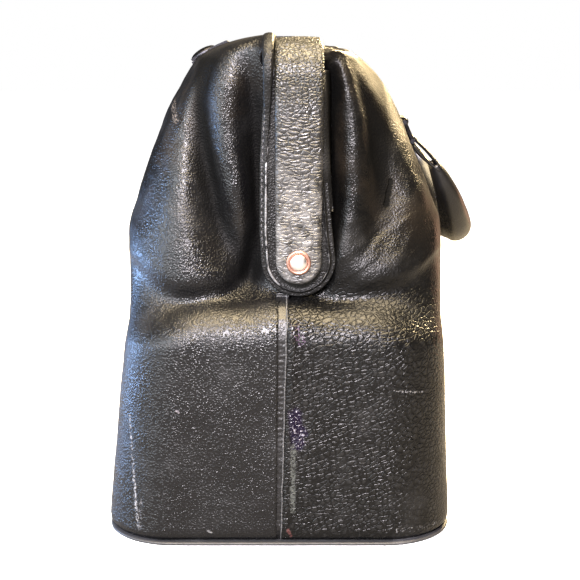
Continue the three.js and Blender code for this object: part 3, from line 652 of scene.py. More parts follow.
def box_ring(distance, z):
    """The place on the box's outside this far round from the end seam, at each height, with y positive."""
    length, width, corner = box_size(z)
    foot = np.clip((FOOT["top"] - z) / (FOOT["top"] - LEVELS[0, 0]), 0, 1)
    turned_in = FOOT["turned"] * (1 - np.sqrt(1 - 0.999 * foot**2) - foot)
    length, width = length - turned_in, width - turned_in
    end = width - corner
    arc = corner * math.pi / 2
    turn = np.clip((distance - end) / corner, 0, math.pi / 2)
    beyond = np.clip(distance - end - arc, 0, None)
    x = length - corner + corner * np.cos(turn) - beyond
    y = np.minimum(distance, end) + corner * np.sin(turn)
    return np.stack([x, y, z + 0 * x], axis=-1)


def quarter_length(z):
    """The distance round the box from one end seam to the middle of a side."""
    length, width, corner = box_size(z)
    return (width - corner) + corner * math.pi / 2 + (length - corner)


def on_box(s, z, side):
    """The box's outside on one side, for columns s (0 to the last rail) from its seam edge and heights z."""
    knots = np.array(SEAM_EDGE[side])
    edge = np.interp(z, knots[:, 0], knots[:, 1])
    distance = edge + s / RAILS[-1] * (quarter_length(z) - edge)
    place = box_ring(distance, z)
    place[..., 1] *= -1 if side == "front" else 1
    return lean(place)


def lean(place):
    """The bag's foot has shifted a little to the front and swollen, but not at the end seam."""
    y, z = place[..., 1], place[..., 2]
    low = np.clip((118 - z) / 118, 0, 1)
    place[..., 1] = y + low * (LEAN + SWELL * np.sign(y)) * smoothstep(4, 40, np.abs(y))
    return place


def sag(place):
    """The shoulder has sunk under the folds, most of all at the corners."""
    y, z = place[..., 1], place[..., 2]
    near = smoothstep(98, 129, z) * (1 - smoothstep(140, 186, z))
    beside, corner = smoothstep(4, 24, np.abs(y)), smoothstep(36, 76, np.abs(y))
    depth = SHOULDER_SAG["seam"] + SHOULDER_SAG["beside"] * beside + SHOULDER_SAG["corner"] * corner
    place[..., 2] = z - near * depth
    return place


def along_rails(row, s):
    """A row of rail points joined by a smooth curve, whose pace follows the distance between the rails."""
    whole = np.concatenate([row, row[-2::-1] * MIRROR])
    gaps = np.linalg.norm(np.diff(whole, axis=0), axis=1) ** 0.7
    knots = np.concatenate([[0], np.cumsum(gaps)])
    cell = np.clip(np.searchsorted(RAILS, s, side="right") - 1, 0, len(RAILS) - 2)
    share = (s - np.array(RAILS)[cell]) / np.diff(RAILS)[cell]
    return spline(knots, whole, knots[cell] + share * gaps[cell])


def sheet_grid(side, folds):
    """Rows of points from the base to the frame, and columns from the +X seam round to the -X seam."""
    s = np.concatenate([np.linspace(0, 110, 80), np.linspace(110, RAILS[-1], 36)[1:]])
    wall, shoulder, upper = np.arange(3, 112, 2.4), np.arange(112, 152, 1.15), np.arange(152, 290.1, 1.8)
    rows = np.concatenate([wall, shoulder, upper, [290]])
    control = [on_box(np.array(RAILS, float), np.full(len(RAILS), float(z)), side) for z in BOX_ROWS]
    control += [np.array(row, float) for row in folds]
    knots = BOX_ROWS + UPPER_ROWS
    up = spline(knots, np.array(control), np.maximum(rows, knots[0]))
    folded = np.array([along_rails(row, s) for row in up])
    z = np.minimum(rows, 131)[:, None] + 0 * s[None, :]
    plain = on_box(s[None, :] + 0 * z, z, side)
    share = smoothstep(112, 127, rows)[:, None, None]
    quarter = sag(soften(plain * (1 - share) + folded * share, rows))
    return np.concatenate([quarter, quarter[:, -2::-1] * MIRROR], axis=1), rows


def soften(grid, rows):
    """Evens out the crease over the shoulder, a little on the ends and more towards corners and sides."""
    near = smoothstep(112, 120, rows) * (1 - smoothstep(150, 164, rows))
    for step in range(14):
        corner = smoothstep(52, 78, np.abs(grid[..., 1]))
        share = near[:, None] * (corner if step > 0 else 1)
        even = grid.copy()
        even[1:-1] = (grid[:-2] + 2 * grid[1:-1] + grid[2:]) / 4
        grid = grid + (even - grid) * np.broadcast_to(share, grid.shape[:2])[..., None]
    return grid


def outward(grid):
    """The grid's unit normals, turned away from the middle of the bag."""
    normal = grid_normals(grid)
    away = grid - np.array([0, 0, 110.0])
    sign = np.sign((normal * away).sum(axis=-1).sum())
    return normal * sign


def under_hasp(grid):
    """Keeps the middle of the front sheet inside the circle that the hasp and the lock lie on."""
    y, z = grid[..., 1] - PIVOT_Y, grid[..., 2] - PIVOT_Z
    radius = np.hypot(y, z)
    limit = HASP_REACH["middle"] + HASP_REACH["more"] * smoothstep(13, 42, np.abs(grid[..., 0]))
    share = np.where(z > 20, np.minimum(1, limit / radius), 1)
    grid[..., 1] = PIVOT_Y + y * share
    grid[..., 2] = PIVOT_Z + z * share
    return grid


def rumple(grid, normal, side):
    """Small dents and pulls in the leather, stronger above the shoulder."""
    z = grid[..., 2]
    upper = smoothstep(128, 160, z)
    top = smoothstep(246, 262, z)
    dents = fractal(grid, 34, 3) * (0.3 + 0.45 * upper * (1 - 0.6 * top))
    small = fractal(grid + 300, 9, 2) * (0.12 + 0.14 * upper)
    moved = dents + small
    if side == "rear":
        moved = moved + rear_creases(grid) + seam_ridge(grid)
    hold = smoothstep(3, 14, z) * (1 - smoothstep(256, 262, z) * 0.7)
    return grid + normal * (moved * hold)[..., None]


def seam_ridge(grid):
    """The folded edge of the rear sheet, which stands up beside the end seam."""
    y, z = grid[..., 1], grid[..., 2]
    middle = 3.6 - 2.4 * smoothstep(100, 10, z)
    uneven = 1 + 0.5 * fractal(grid + 11, 7, 2)
    return 0.75 * np.exp(-(((y - middle) / 2.1) ** 2)) * (1 - smoothstep(118, 128, z)) * uneven


def rear_creases(grid):
    """Diagonal creases that run up to the rear, low on the rear sheet's ends and over its shoulder."""
    x, y, z = grid[..., 0], grid[..., 1], grid[..., 2]
    slope = np.stack([np.abs(x) * 0.2, (z - 0.75 * y), (y + 0.75 * z) * 0.16], axis=-1)
    lines = ridged(slope, 7.5)
    near = smoothstep(20, 32, y) * (1 - smoothstep(60, 78, y))
    low = smoothstep(132, 140, z) * (1 - smoothstep(168, 190, z)) * near
    return (lines - 0.4) * 0.45 * low


def leather_sheet(side, folds, material):
    """The leather of one side, from the base to its frame, with the cloth behind its upper part."""
    grid, rows = sheet_grid(side, folds)
    if side == "front":
        grid = under_hasp(grid)
    grid = rumple(grid, outward(grid), side)
    if side == "front":
        grid = under_hasp(grid)
    inward = -outward(grid)
    sheet = thick_sheet(f"{side}_leather", grid, inward, LEATHER, material)
    bend_with(sheet)
    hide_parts(f"{side}_panel", f"{side}_upper_leather")
    keep = (rows > LINING["low"]) & (rows < LINING["high"])
    behind = grid[keep] + inward[keep] * (LEATHER + LINING["gap"])
    cloth = thick_sheet(f"{side}_upper_lining", behind, inward[keep], LINING["thick"], lining_cloth)
    bend_with(cloth)


def bend_with(obj):
    """Bakes a sheet's place into its mesh."""
    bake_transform(obj)


# ---------------------------------------------------------------- frames
def u_path(shape, s):
    """Points and outward directions on the middle of a U, this far along it from the hinge on +X."""
    span, top, bend = shape["span"], shape["top"], shape["bend"]
    arm = top - bend - PIVOT_Z
    arc = bend * math.pi / 2
    half = arm + arc + span - bend
    s = np.asarray(s, float)
    t = np.where(s > half, 2 * half - s, s)
    turn = np.clip((t - arm) / bend, 0, math.pi / 2)
    beyond = np.clip(t - arm - arc, 0, None)
    sign = np.where(s > half, -1, 1)
    x = (span - bend + bend * np.cos(turn) - beyond) * sign
    z = np.where(t < arm, PIVOT_Z + t, top - bend + bend * np.sin(turn))
    return x, z, np.cos(turn) * sign, np.sin(turn), half


def u_steps(shape, start, arm_step, top_step):
    """Distances along the whole U, close together on the arms."""
    arm = shape["top"] - shape["bend"] - PIVOT_Z
    arc = shape["bend"] * math.pi / 2
    half = arm + arc + shape["span"] - shape["bend"]
    up = np.linspace(start, arm, max(2, int((arm - start) / arm_step)))
    over = np.linspace(arm, arm + arc, 16)[1:]
    flat = np.linspace(arm + arc, half, int((half - arm - arc) / top_step))[1:]
    one = np.concatenate([up, over, flat])
    return np.concatenate([one, 2 * half - one[-2::-1]])


def frame_strap(name, shape, edges, radius, lift, sink, offsets, material):
    """A strap along a U that ends in a half round about each hinge. Offsets count in from its edge."""
    s = u_steps(shape, 0, arm_step=1.3, top_step=5)
    x, z, nx, nz, half = u_path(shape, s)
    up = np.where(s > half, 2 * half - s, s)
    left, right = edges(up)
    centre = (left + right) / 2
    e = np.array(offsets)
    y = np.concatenate([left[:, None] + e, centre[:, None], right[:, None] - e[::-1]], axis=1)
    inset = np.minimum(y - left[:, None], right[:, None] - y)
    height = up[:, None] + 0 * y

    def face(offset):
        px = x[:, None] + nx[:, None] * offset
        pz = z[:, None] + nz[:, None] * offset
        return np.stack([px, y, pz], axis=-1)

    points, faces = [], []

    def put(grid):
        start = sum(len(p) for p in points)
        points.append(grid.reshape(-1, 3))
        faces.extend(grid_faces(grid.shape[0], grid.shape[1], start))

    put(face(lift(inset, height, y)))
    put(face(-sink(inset)))
    turn = np.linspace(0, math.pi, 49)[:, None]
    r = np.concatenate([radius - e, [0]])[None, :]
    disc_y = PIVOT_Y - r * np.cos(turn)
    disc_z = PIVOT_Z - r * np.sin(turn)
    inset = radius - r + 0 * turn
    for end in (1, -1):
        for offset in (lift(inset, disc_z - PIVOT_Z, disc_y), -sink(inset)):
            put(np.stack([end * (shape["span"] + offset), disc_y, disc_z], axis=-1))
    return mesh_object(name, np.concatenate(points), faces, material, weld=0.02)


def rounded(inset, radius, height):
    """The height of an edge rounded off over `radius`."""
    t = np.clip(inset / radius, 0, 1)
    return height * np.sqrt(np.clip(1 - (1 - t) ** 2, 0, 1))


rear_low, rear_high = corners("rear_frame_cover")
_, front_high = corners("front_frame_cover")
REAR_THICK = 5.0
FRONT_THICK = 4.4
REAR_U = {"span": rear_high[0] - REAR_THICK / 2, "top": rear_high[2] - REAR_THICK / 2, "bend": 17.9}
FRONT_U = {"span": front_high[0] - FRONT_THICK / 2, "top": front_high[2] - FRONT_THICK / 2, "bend": 12.0}
REAR_ROUND = 11.8
FRONT_ROUND = 19.4


def rear_strap():
    """The pebbled strap over the rear frame, in the middle of each end."""
    top_left, top_right = rear_low[1], rear_high[1] + 0.4

    def edges(up):
        share = smoothstep(0, 90, up)
        left = (PIVOT_Y - REAR_ROUND) * (1 - share) + top_left * share
        right = (PIVOT_Y + REAR_ROUND) * (1 - share) + top_right * share
        return left, right

    def lift(inset, up, y):
        place = np.stack([0 * up, y, up], axis=-1)
        body = rounded(inset, 2.6, REAR_THICK / 2) + 0.55 * smoothstep(0, 11, inset)
        dents = fractal(place + 90, 12, 2) * 0.22 * smoothstep(0, 3, inset)
        return body + dents

    def sink(inset):
        return rounded(inset, 1.4, REAR_THICK / 2 - 0.1)

    offsets = (0, 0.25, 0.6, 1.1, 1.8, 2.6, 3.8, 5.4, 7.4, 9.6)
    strap = frame_strap("rear_frame_leather", REAR_U, edges, REAR_ROUND, lift, sink, offsets, strap_leather)
    attach(strap, "rear_frame", "frame_cover", "rear_frame_cover")


ENDS = (("right", 1), ("left", -1))
FLANGE = 2.4  # the thin sewn edge of the front frame's leather


def front_strap():
    """The stitched leather over the front frame, whose round ends show behind the strap."""
    knots = (0, 15, 49, 74, 94, 400)
    left_at = (PIVOT_Y - FRONT_ROUND, -13.3, -13.0, -11.6, -10.2, -10.2)
    right_at = (PIVOT_Y + FRONT_ROUND, 24.6, 21.6, 20.4, 19.6, 19.6)

    def edges(up):
        return np.interp(up, knots, left_at), np.interp(up, knots, right_at)

    def lift(inset, up, y):
        thin = rounded(inset, 0.5, 0.7)
        step = smoothstep(FLANGE - 0.2, FLANGE + 0.5, inset) * (FRONT_THICK / 2 - 0.9)
        bead = 0.75 * np.exp(-(((inset - FLANGE - 0.8) / 0.55) ** 2))
        uneven = fractal(np.stack([0 * up, y, up], axis=-1) + 40, 5, 2) * 0.12 * smoothstep(0, 1, inset)
        return thin + step + bead + uneven

    def sink(inset):
        return rounded(inset, 1.0, FRONT_THICK / 2 - 0.1)

    offsets = (0, 0.25, 0.6, 1.2, 1.8, 2.2, 2.5, 2.75, 3.0, 3.25, 3.5, 3.8, 4.2, 5, 6.5, 9)
    strap = frame_strap("front_frame_leather", FRONT_U, edges, FRONT_ROUND, lift, sink, offsets, edge_leather)
    attach(strap, "front_frame", "frame_cover", "front_frame_cover")
    for label, end in ENDS:
        flange_trim(edges, end, label)


def gusset(end, label):
    """The web of leather that closes the gap between an arm of the rear frame and the fold beside it."""
    z = np.linspace(176, 248, 46)
    past = np.interp(z, (176, 200, 225, 245), (24.2, 22.2, 21.0, 20.2))  # clears the front frame's strap
    x = np.array((175.6, 174.6, 172, 168, 162, 156.4))
    hidden = 167.2  # its ends taper to here, behind the front frame
    reach = smoothstep(178, 202, z) * (1 - smoothstep(236, 247, z))
    x = np.minimum(x, hidden) + np.maximum(x - hidden, 0) * reach[:, None]
    share = np.array((0.0, 0.6, 1.0, 1.0, 0.6, 0.2))
    bent = np.array((18.2, 18.2, 18.2, 18.6, 22.4, 23.8))
    y = bent + (past[:, None] - bent) * share
    grid = np.stack([end * x, y, z[:, None] + 0 * y], axis=-1)
    rearward = np.full(grid.shape, (0, 1.0, 0))
    web = thick_sheet(f"rear_gusset_{label}", grid, rearward, THIN_LEATHER, edge_leather)
    attach(web, "rear_frame", "upper_leather")


def flange_trim(edges, end, label):
    """The bead along the step of the flange, painted light grey and shiny as its highlight, and the stitches
    outside it.
    """
    up = np.arange(-13, 99, 0.8)
    left, right = edges(np.maximum(up, 0))
    bead_end = FRONT_ROUND - FLANGE - 0.9
    for place, side_edge, sign in (("front", left, 1), ("rear", right, -1)):
        keep = up < (99 if sign > 0 else 64)
        round_y = PIVOT_Y - sign * np.sqrt(np.maximum(bead_end**2 - np.minimum(up, 0) ** 2, 0))
        y = np.where(up < 0, round_y, side_edge + sign * (FLANGE + 0.9))
        uneven = fractal(np.stack([0 * up, y, up], axis=1) + 60, 4, 2)
        x = end * (FRONT_U["span"] + FRONT_THICK / 2 + 0.1 + 0.12 * uneven)
        line = np.stack([x, y + 0.12 * uneven, PIVOT_Z + up], axis=1)[keep]
        thick = (0.55 if sign > 0 else 0.32) * (1 + 0.4 * uneven[keep])
        attach(wire(f"flange_bead_{place}_{label}", line, thick, painted_highlight_bead), "front_frame", "frame_cover")
    sewn = (up > 6) & (up < 74)
    line = np.stack([0 * up + end * (FRONT_U["span"] + 0.75), left + 1.2, PIVOT_Z + up], axis=1)[sewn]
    normal = np.full(line.shape, (float(end), 0, 0))
    attach(stitches(f"flange_stitches_{label}", line, normal, "flange"), "front_frame", "frame_cover")


# Where the raised edge's rear side is, at heights above the hinge, and its front side likewise. Its foot is
# sunk into the strap. Under the hasp it is pressed almost flat as far out along X as the first of two places,
# and it is back at its full height at the second.
LIP = {
    "up": (44, 58, 76, 92, 104),
    "rear": (-9.6, -8.9, -7.4, -6.2, -5.5),
    "front": ((44, 92, 104), (-10.6, -11.0, -11.6)),
    "foot": -1.2,
    "pressed": (14.5, 19),
    "seam_below_top": 0.45,
    "seam_before_rear": 2.7,
}


def lip():
    """The raised sewn edge that stands up before the rear frame's strap."""
    _, high = corners("front_edge_binding")
    full = high[2] - front_high[2]
    s = u_steps(FRONT_U, 44, arm_step=1.6, top_step=3.2)
    x, z, nx, nz, half = u_path(FRONT_U, s)
    up = np.where(s > half, 2 * half - s, s)
    tall = np.interp(up, LIP["up"], (0.2, 0.9, 2.4, full - 2.4, full))
    tall = tall * (1 - 0.87 * (1 - smoothstep(*LIP["pressed"], np.abs(x))) * (up > 120))
    back = np.interp(up, LIP["up"], LIP["rear"])
    cos, sin = circle(28)
    low = LIP["foot"]
    rings = []
    for k in range(len(s)):
        front = np.interp(up[k], *LIP["front"])
        mid_y, deep = (back[k] + front) / 2, (back[k] - front) / 2
        mid_n, tall_n = (tall[k] + low) / 2, (tall[k] - low) / 2
        dy, dn = squared(cos, 0.45) * deep, squared(sin, 0.45) * tall_n
        slope = 0.22 * np.clip(-dy, 0, None) * (dn > 0)
        offset = FRONT_THICK / 2 + mid_n + dn - slope
        rings.append(np.stack([x[k] + nx[k] * offset, mid_y + dy, z[k] + nz[k] * offset], axis=1))
    rings = np.array(rings)
    rings[..., 1] += fractal(rings, 18, 2) * 0.15
    edge = tube("front_frame_lip", rings, edge_leather)
    attach(edge, "front_frame", "frame_cover", "front_edge_binding")
    seam_points, seam_normals = [], []
    for k in range(len(s)):
        if up[k] < 66 or abs(x[k]) < 22:
            continue
        offset = FRONT_THICK / 2 + tall[k] - LIP["seam_below_top"]
        line_y = back[k] - LIP["seam_before_rear"]
        seam_points.append((x[k] + nx[k] * offset, line_y, z[k] + nz[k] * offset))
        seam_normals.append((nx[k], -0.2, nz[k]))
    middle = sum(1 for p in seam_points if p[0] > 0)
    for label, part in (("right", slice(0, middle)), ("left", slice(middle, None))):
        row = stitches(f"lip_stitches_{label}", seam_points[part], seam_normals[part], "lip")
        attach(row, "front_frame", "frame_cover")


# ---------------------------------------------------------------- base, end seams
# The box's outline at `level` is the welt's line. The welt lies at `height`, set in by `inset`.
WELT = {"level": 8.6, "height": 1.25, "inset": 2.4, "half_width": 2.2, "half_height": 0.95, "wave": 0.35}


def welt():
    """The sewn edge that stands out round the base."""
    s = np.linspace(0, RAILS[-1], 90)
    rings = []
    cos, sin = circle(14)
    level = np.full(len(s), WELT["level"])
    quarters = []
    for sign in (-1, 1):
        q = box_ring(s / RAILS[-1] * quarter_length(level), level)
        q[:, 1] *= sign
        q[:, 2] = 6
        quarters.append(lean(q))
    front, rear = quarters
    loop = np.concatenate([front[:-1], (front * MIRROR)[::-1][:-1], (rear * MIRROR)[:-1], rear[::-1][:-1]])
    ahead = np.roll(loop, -1, axis=0) - np.roll(loop, 1, axis=0)
    out = unit(np.stack([-ahead[:, 1], ahead[:, 0], 0 * ahead[:, 0]], axis=1))
    out *= np.sign((out * loop).sum(axis=1))[:, None]
    for k, place in enumerate(loop):
        wave = WELT["wave"] * noise.noise(Vector(place / 16))
        across, up = WELT["half_width"] * squared(cos, 0.6), WELT["half_height"] * sin
        ring = place + out[k] * (across[:, None] - WELT["inset"] + wave)
        ring[:, 2] = WELT["height"] + up + 0.25 * wave
        rings.append(ring)
    rings = np.array(rings + rings[:1])
    faces = grid_faces(len(rings), len(cos), wrap=True)
    piece = mesh_object("base_welt_leather", rings, faces, welt_leather, weld=0.01)
    attach(piece, "bag_body", "base_welt", "base_welt")


# The heights between which the band runs, how far it is tucked under the sheets and sunk below them, and the
# depth and pitch of its puckers
BAND = {"low": 3, "high": 134.4, "tuck": 1.2, "sunk": 1.0, "pucker": 0.11, "pitch": 2.8}


def seam_band(end, label):
    """The sunk band between the two sheets on one end, with the puckers that its stitches pull into it."""
    z = np.arange(BAND["low"], BAND["high"], 0.45)
    knots_front, knots_rear = (np.array(SEAM_EDGE[k]) for k in ("front", "rear"))
    left = -np.interp(z, knots_front[:, 0], knots_front[:, 1]) - BAND["tuck"]
    right = np.interp(z, knots_rear[:, 0], knots_rear[:, 1]) + BAND["tuck"]
    share = np.linspace(0, 1, 15)
    y = left[:, None] + (right - left)[:, None] * share
    x = box_size(z)[0][:, None] + 0 * y
    pucker = BAND["pucker"] * np.cos(z * 2 * math.pi / BAND["pitch"])[:, None] * np.sin(share * math.pi)
    strength = 0.35 + 0.65 * smoothstep(40, 60, z) * (1 - smoothstep(106, 114, z))
    place = np.stack([x, y, z[:, None] + 0 * y], axis=-1)
    x = x - BAND["sunk"] + pucker * strength[:, None] + 0.25 * fractal(place, 2.2, 2)
    grid = sag(np.stack([x * end, y, place[..., 2]], axis=-1))
    inward = np.full(grid.shape, (-end, 0.0, 0.0))
    band = thick_sheet(f"end_seam_{label}", grid, inward, THIN_LEATHER, seam_leather)
    attach(band, "bag_body", "seam_strip", f"seam_strip_{label}")
    raw_edge(end, label, z, right - BAND["tuck"])


def raw_edge(end, label, z, y):
    """The crinkled cut edge of the rear sheet along the band."""
    cos, sin = circle(8)
    x = box_size(z)[0]
    rings = []
    for k in range(len(z)):
        crinkle = 0.34 * noise.noise(Vector((7.0 * end, 0, z[k] / 1.3)))
        wander = 0.4 * noise.noise(Vector((3.0, end, z[k] / 9)))
        radius = 0.4 + crinkle * 0.6
        out = end * (x[k] + 0.12 + radius * cos)
        rings.append(np.stack([out, y[k] - 0.1 + wander + radius * sin, z[k] + 0 * cos], axis=1))
    edge = tube(f"end_seam_edge_{label}", sag(np.array(rings)), worn_edge)
    attach(edge, "bag_body", "seam_strip")


# ---------------------------------------------------------------- hinge rivets
def hinge_rivet(end, label):
    """A domed nickel rivet in a copper washer, with a dark groove between them."""
    washer_low, washer_high = corners(f"hinge_washer_{label}")
    rivet_low, rivet_high = corners(f"hinge_rivet_{label}")
    centre = (washer_low + washer_high) / 2
    seat = max(abs(washer_low[0]), abs(washer_high[0])) - 0.8
    ring = (washer_high[1] - washer_low[1]) / 2
    dome = (rivet_high[1] - rivet_low[1]) / 2
    copper_profile = ((seat, ring * 0.5), (seat, ring - 0.1), (seat + 0.5, ring), (seat + 0.95, ring - 0.35),
                      (seat + 1.1, ring - 0.9), (seat + 0.95, dome + 0.75), (seat + 0.4, dome + 0.4),
                      (seat + 0.3, ring * 0.5))
    washer = lathe(f"rivet_ring_{label}", copper_profile, centre, copper, end)
    attach(washer, "front_frame", "copper", f"hinge_washer_{label}")
    face = seat + 0.3
    steps = [math.pi / 2 * k / 8 for k in range(9)]
    cap = [(face + 0.5 + 1.7 * math.sin(a), max(0.02, (dome + 0.1) * math.cos(a))) for a in steps]
    back = abs(rivet_low[0]) if end > 0 else abs(rivet_high[0])
    profile = cap[::-1] + [(face, dome - 0.2), (face - 0.3, 2.0), (back, 2.0)]
    rivet = lathe(f"rivet_dome_{label}", profile, centre, nickel, end)
    attach(rivet, "front_frame", "rivet_head", f"hinge_rivet_{label}")


# ---------------------------------------------------------------- handle
def ribbon(name, line, x, half_width, half_thick):
    """A strap whose middle follows (y, z) points and whose width is along X, with rounded edges."""
    line = np.asarray(line, float)
    reach = distance_along(line)
    fine = spline(reach, line, np.linspace(0, reach[-1], max(12, int(reach[-1] / 0.9))))
    ahead = unit(np.gradient(fine, axis=0))
    up = np.stack([-ahead[:, 1], ahead[:, 0]], axis=1)
    cos, sin = circle(32)
    wide, tall = squared(cos, 0.5), squared(sin, 0.7)
    rings = []
    for k in range(len(fine)):
        thick = half_thick * tall
        width = half_width + 0.25 * noise.noise(Vector((x / 9, k / 7, 1.5)))
        place = fine[k] + thick[:, None] * up[k]
        rings.append(np.stack([x + width * wide, place[:, 0], place[:, 1]], axis=1))
    return tube(name, rings, handle_leather), fine, up


def edge_stitches(name, fine, up, x, half_width, half_thick, body):
    """Two rows of stitches, one along each edge of a ribbon."""
    for label, sign in (("a", -1), ("b", 1)):
        line = np.stack([np.full(len(fine), x + sign * (half_width - 2.2)),
                         fine[:, 0] + up[:, 0] * half_thick, fine[:, 1] + up[:, 1] * half_thick], axis=1)
        normal = np.stack([np.zeros(len(fine)), up[:, 0], up[:, 1]], axis=1)
        attach(stitches(f"{name}_{label}", line, normal, "strap"), body, "handle_leather")


def ring_places():
    """The (y, z) of the upper and lower bar of the handle's rings."""
    return joint_place("ring_swing")[1:], joint_place("handle_swing")[1:]


def turned_round(centre, radius, start, stop, count=7):
    """Points on part of a circle in the (y, z) plane, from one angle to another in degrees."""
    return [(centre[0] + radius * math.cos(math.radians(a)), centre[1] + radius * math.sin(math.radians(a)))
            for a in np.linspace(start, stop, count)]


def chapes():
    """The straps that hold the rings: out over the rear leather, round the ring and back beneath."""
    upper, _ = ring_places()
    for label in ("right", "left"):
        low, high = corners(f"handle_chape_{label}")
        x = (low[0] + high[0]) / 2
        half = (high[0] - low[0]) / 2
        over = [(19.6, 258.5), (27.5, 258.2), (35, 256), (46.4, 249), (54.2, 240), (61.6, 228), (68, 218.8)]
        under = [(65.6, 218.6), (60, 226.5)]
        line = over + turned_round(upper, 2.3, 35, -150) + under
        piece, fine, up = ribbon(f"chape_{label}", line, x, half, 0.8)
        attach(piece, "rear_frame", "handle_leather", f"handle_chape_{label}")
        seen = slice(3, int(len(fine) * 0.62))
        edge_stitches(f"chape_stitches_{label}", fine[seen], up[seen], x, half, 0.55, "rear_frame")


def chape_rivets():
    """Low domed rivets that hold the chapes to the rear frame."""
    for label in ("right", "left"):
        low, high = corners(f"chape_rivet_{label}")
        centre = (low + high) / 2
        seat, radius = 258.9, (high[0] - low[0]) / 2
        dome = [(seat + 0.9 * math.cos(a), max(0.02, radius * math.sin(a))) for a in np.linspace(0, 1.5, 7)]
        profile = dome + [(seat - 0.6, radius - 0.3), (low[2], 1.6)]
        rivet = lathe(f"chape_rivet_dome_{label}", profile, centre, gunmetal, upright=True)
        attach(rivet, "rear_frame", "dark_metal", f"chape_rivet_{label}")


def hasp_boss():
    """The rounded front end of the hasp."""
    low, high = corners("hasp_plate")
    half = (high[0] - low[0]) / 2 + 0.4
    angle, arc, foot, rise = 29.5, 4.2, 119.1, 3.7
    rings = []
    for n in range(17):
        turn = math.pi * (n / 16 - 0.5)
        x = half * math.copysign(abs(math.sin(turn)) ** 0.7, turn)
        share = max(math.cos(turn), 0.02) ** 0.6
        ring = []
        for k in range(24):
            around = 2 * math.pi * k / 24
            tilt = math.radians(angle + arc * share * math.cos(around))
            radius = foot + max(0.0, math.sin(around)) ** 0.75 * rise * share
            ring.append((x, PIVOT_Y - radius * math.sin(tilt), PIVOT_Z + radius * math.cos(tilt)))
        rings.append(ring)
    attach(tube("hasp_boss", rings, gunmetal), "hasp", "dark_metal")


HANDLE_LINE = ((62, 89, 191), (59, 95, 180), (50, 101, 167), (32, 107, 152.5), (12, 110, 146))


GRIP_SEAM = np.array([0, -0.86, -0.5])  # the way that the seam of the grip faces, towards the bag
# Half the grip's depth and width, at its ends and how much more in its middle, and its ridge and grooves
GRIP = {"deep": (2.7, 7.4), "wide": (6.9, 3.1), "ridge": 1.5, "groove": 0.5}


def grip():
    """The rolled grip, with the seam along its inner side."""
    half = np.array(HANDLE_LINE, float)
    whole = np.concatenate([half, half[::-1] * MIRROR])
    reach = distance_along(whole, 0.8)
    line = spline(reach, whole, np.linspace(0, reach[-1], 121))
    turn = np.linspace(0, 2 * math.pi, 41)[:-1]
    cos, sin = np.cos(turn), np.sin(turn)
    beside = np.exp(-((turn - math.pi - 0.55) / 0.2) ** 2) + np.exp(-((turn - math.pi + 0.55) / 0.2) ** 2)
    ahead = unit(np.gradient(line, axis=0))
    inward = unit(GRIP_SEAM - ahead * (ahead @ GRIP_SEAM)[:, None])
    side = np.cross(ahead, inward)
    rings, seam = [], []
    for k, place in enumerate(line):
        t = k / (len(line) - 1)
        swell = math.sin(math.pi * t) ** 0.7
        deep = GRIP["deep"][0] + GRIP["deep"][1] * swell
        wide = GRIP["wide"][0] + GRIP["wide"][1] * swell
        ridge = GRIP["ridge"] * swell * np.exp(-((turn - math.pi) / 0.26) ** 2)
        groove = -GRIP["groove"] * swell * beside
        power = 0.62 + 0.38 * min(1, swell * 1.3)
        out = -squared(cos, power) * deep - np.sign(cos) * (ridge + groove)
        across = squared(sin, power) * wide
        rings.append(place + out[:, None] * inward[k] + across[:, None] * side[k])
        seam.append(place + inward[k] * (deep + 1.2 * swell))
    rings = np.array(rings)
    rings += grid_normals(rings) * (fractal(rings, 14, 2) * 0.12)[..., None]
    attach(tube("handle_roll", rings, handle_leather), "handle", "handle_leather", "handle_grip")
    row = stitches("handle_stitches", np.array(seam)[10:-10], inward[10:-10], "grip")
    attach(row, "handle", "handle_leather")


def handle_tabs():
    """The flat sewn ends of the grip, each folded round its ring."""
    _, lower = ring_places()
    tab_x, start = HANDLE_LINE[0][0], np.array(HANDLE_LINE[0][1:], float)
    away = unit(start - lower)
    flat = np.array([-away[1], away[0]])
    in_grip, by_ring = start + away * 5, lower + away * 7
    outer = [in_grip + flat * 1.0, start + flat * 1.6, by_ring + flat * 2.1]
    inner = [by_ring - flat * 2.1, start - flat * 1.6, in_grip - flat * 1.0]
    angle = math.degrees(math.atan2(flat[1], flat[0]))
    loop = turned_round(lower, 2.3, angle - 20, angle + 200, 9)
    for label, sign in ENDS:
        piece, _, _ = ribbon(f"handle_tab_{label}", outer + loop + inner, sign * tab_x, 7, 1.0)
        attach(piece, "handle", "handle_leather", f"handle_end_{label}")


# ---------------------------------------------------------------- CAD nodes that stay
def finish_node(name, material, bevel):
    """A CAD node keeps its mesh and gets its material, and rounded edges where they can be seen."""
    node = frame["nodes"][name]
    node.data.materials.clear()
    node.data.materials.append(material)
    if bevel:
        rounding = node.modifiers.new("rounded_edges", "BEVEL")
        rounding.width = bevel * MM
        rounding.segments = 3
        rounding.limit_method = "ANGLE"
        rounding.angle_limit = math.radians(40)
        rounding.harden_normals = False
    node.data.shade_smooth()
    flat = node.modifiers.new("keep_flats", "WEIGHTED_NORMAL")
    flat.keep_sharp = True


def finish_nodes():
    """Finishes every CAD node that stays in view, with the width of its rounded edges in mm."""
    for material, bevel, names in (
            (gunmetal, 0.5, "lock_case lock_bolt hasp_plate"),
            (gunmetal, 0.2, "hasp_anchor hasp_pin handle_ring_right handle_ring_left"),
            (copper, 0.2, "hinge_burr_right hinge_burr_left"),
            (steel, 0.2, "front_frame_bar rear_frame_bar"),
            (board, 0.0, "front_stiffener rear_stiffener base_board"),
            (welt_leather, 0.4, "base_panel"),
            (lining_cloth, 0.0, "lining"),
            (lining_cloth, 0.4, "inner_pocket"),
            (cord, 0.0, "handle_core")):
        for name in names.split():
            finish_node(name, material, bevel)


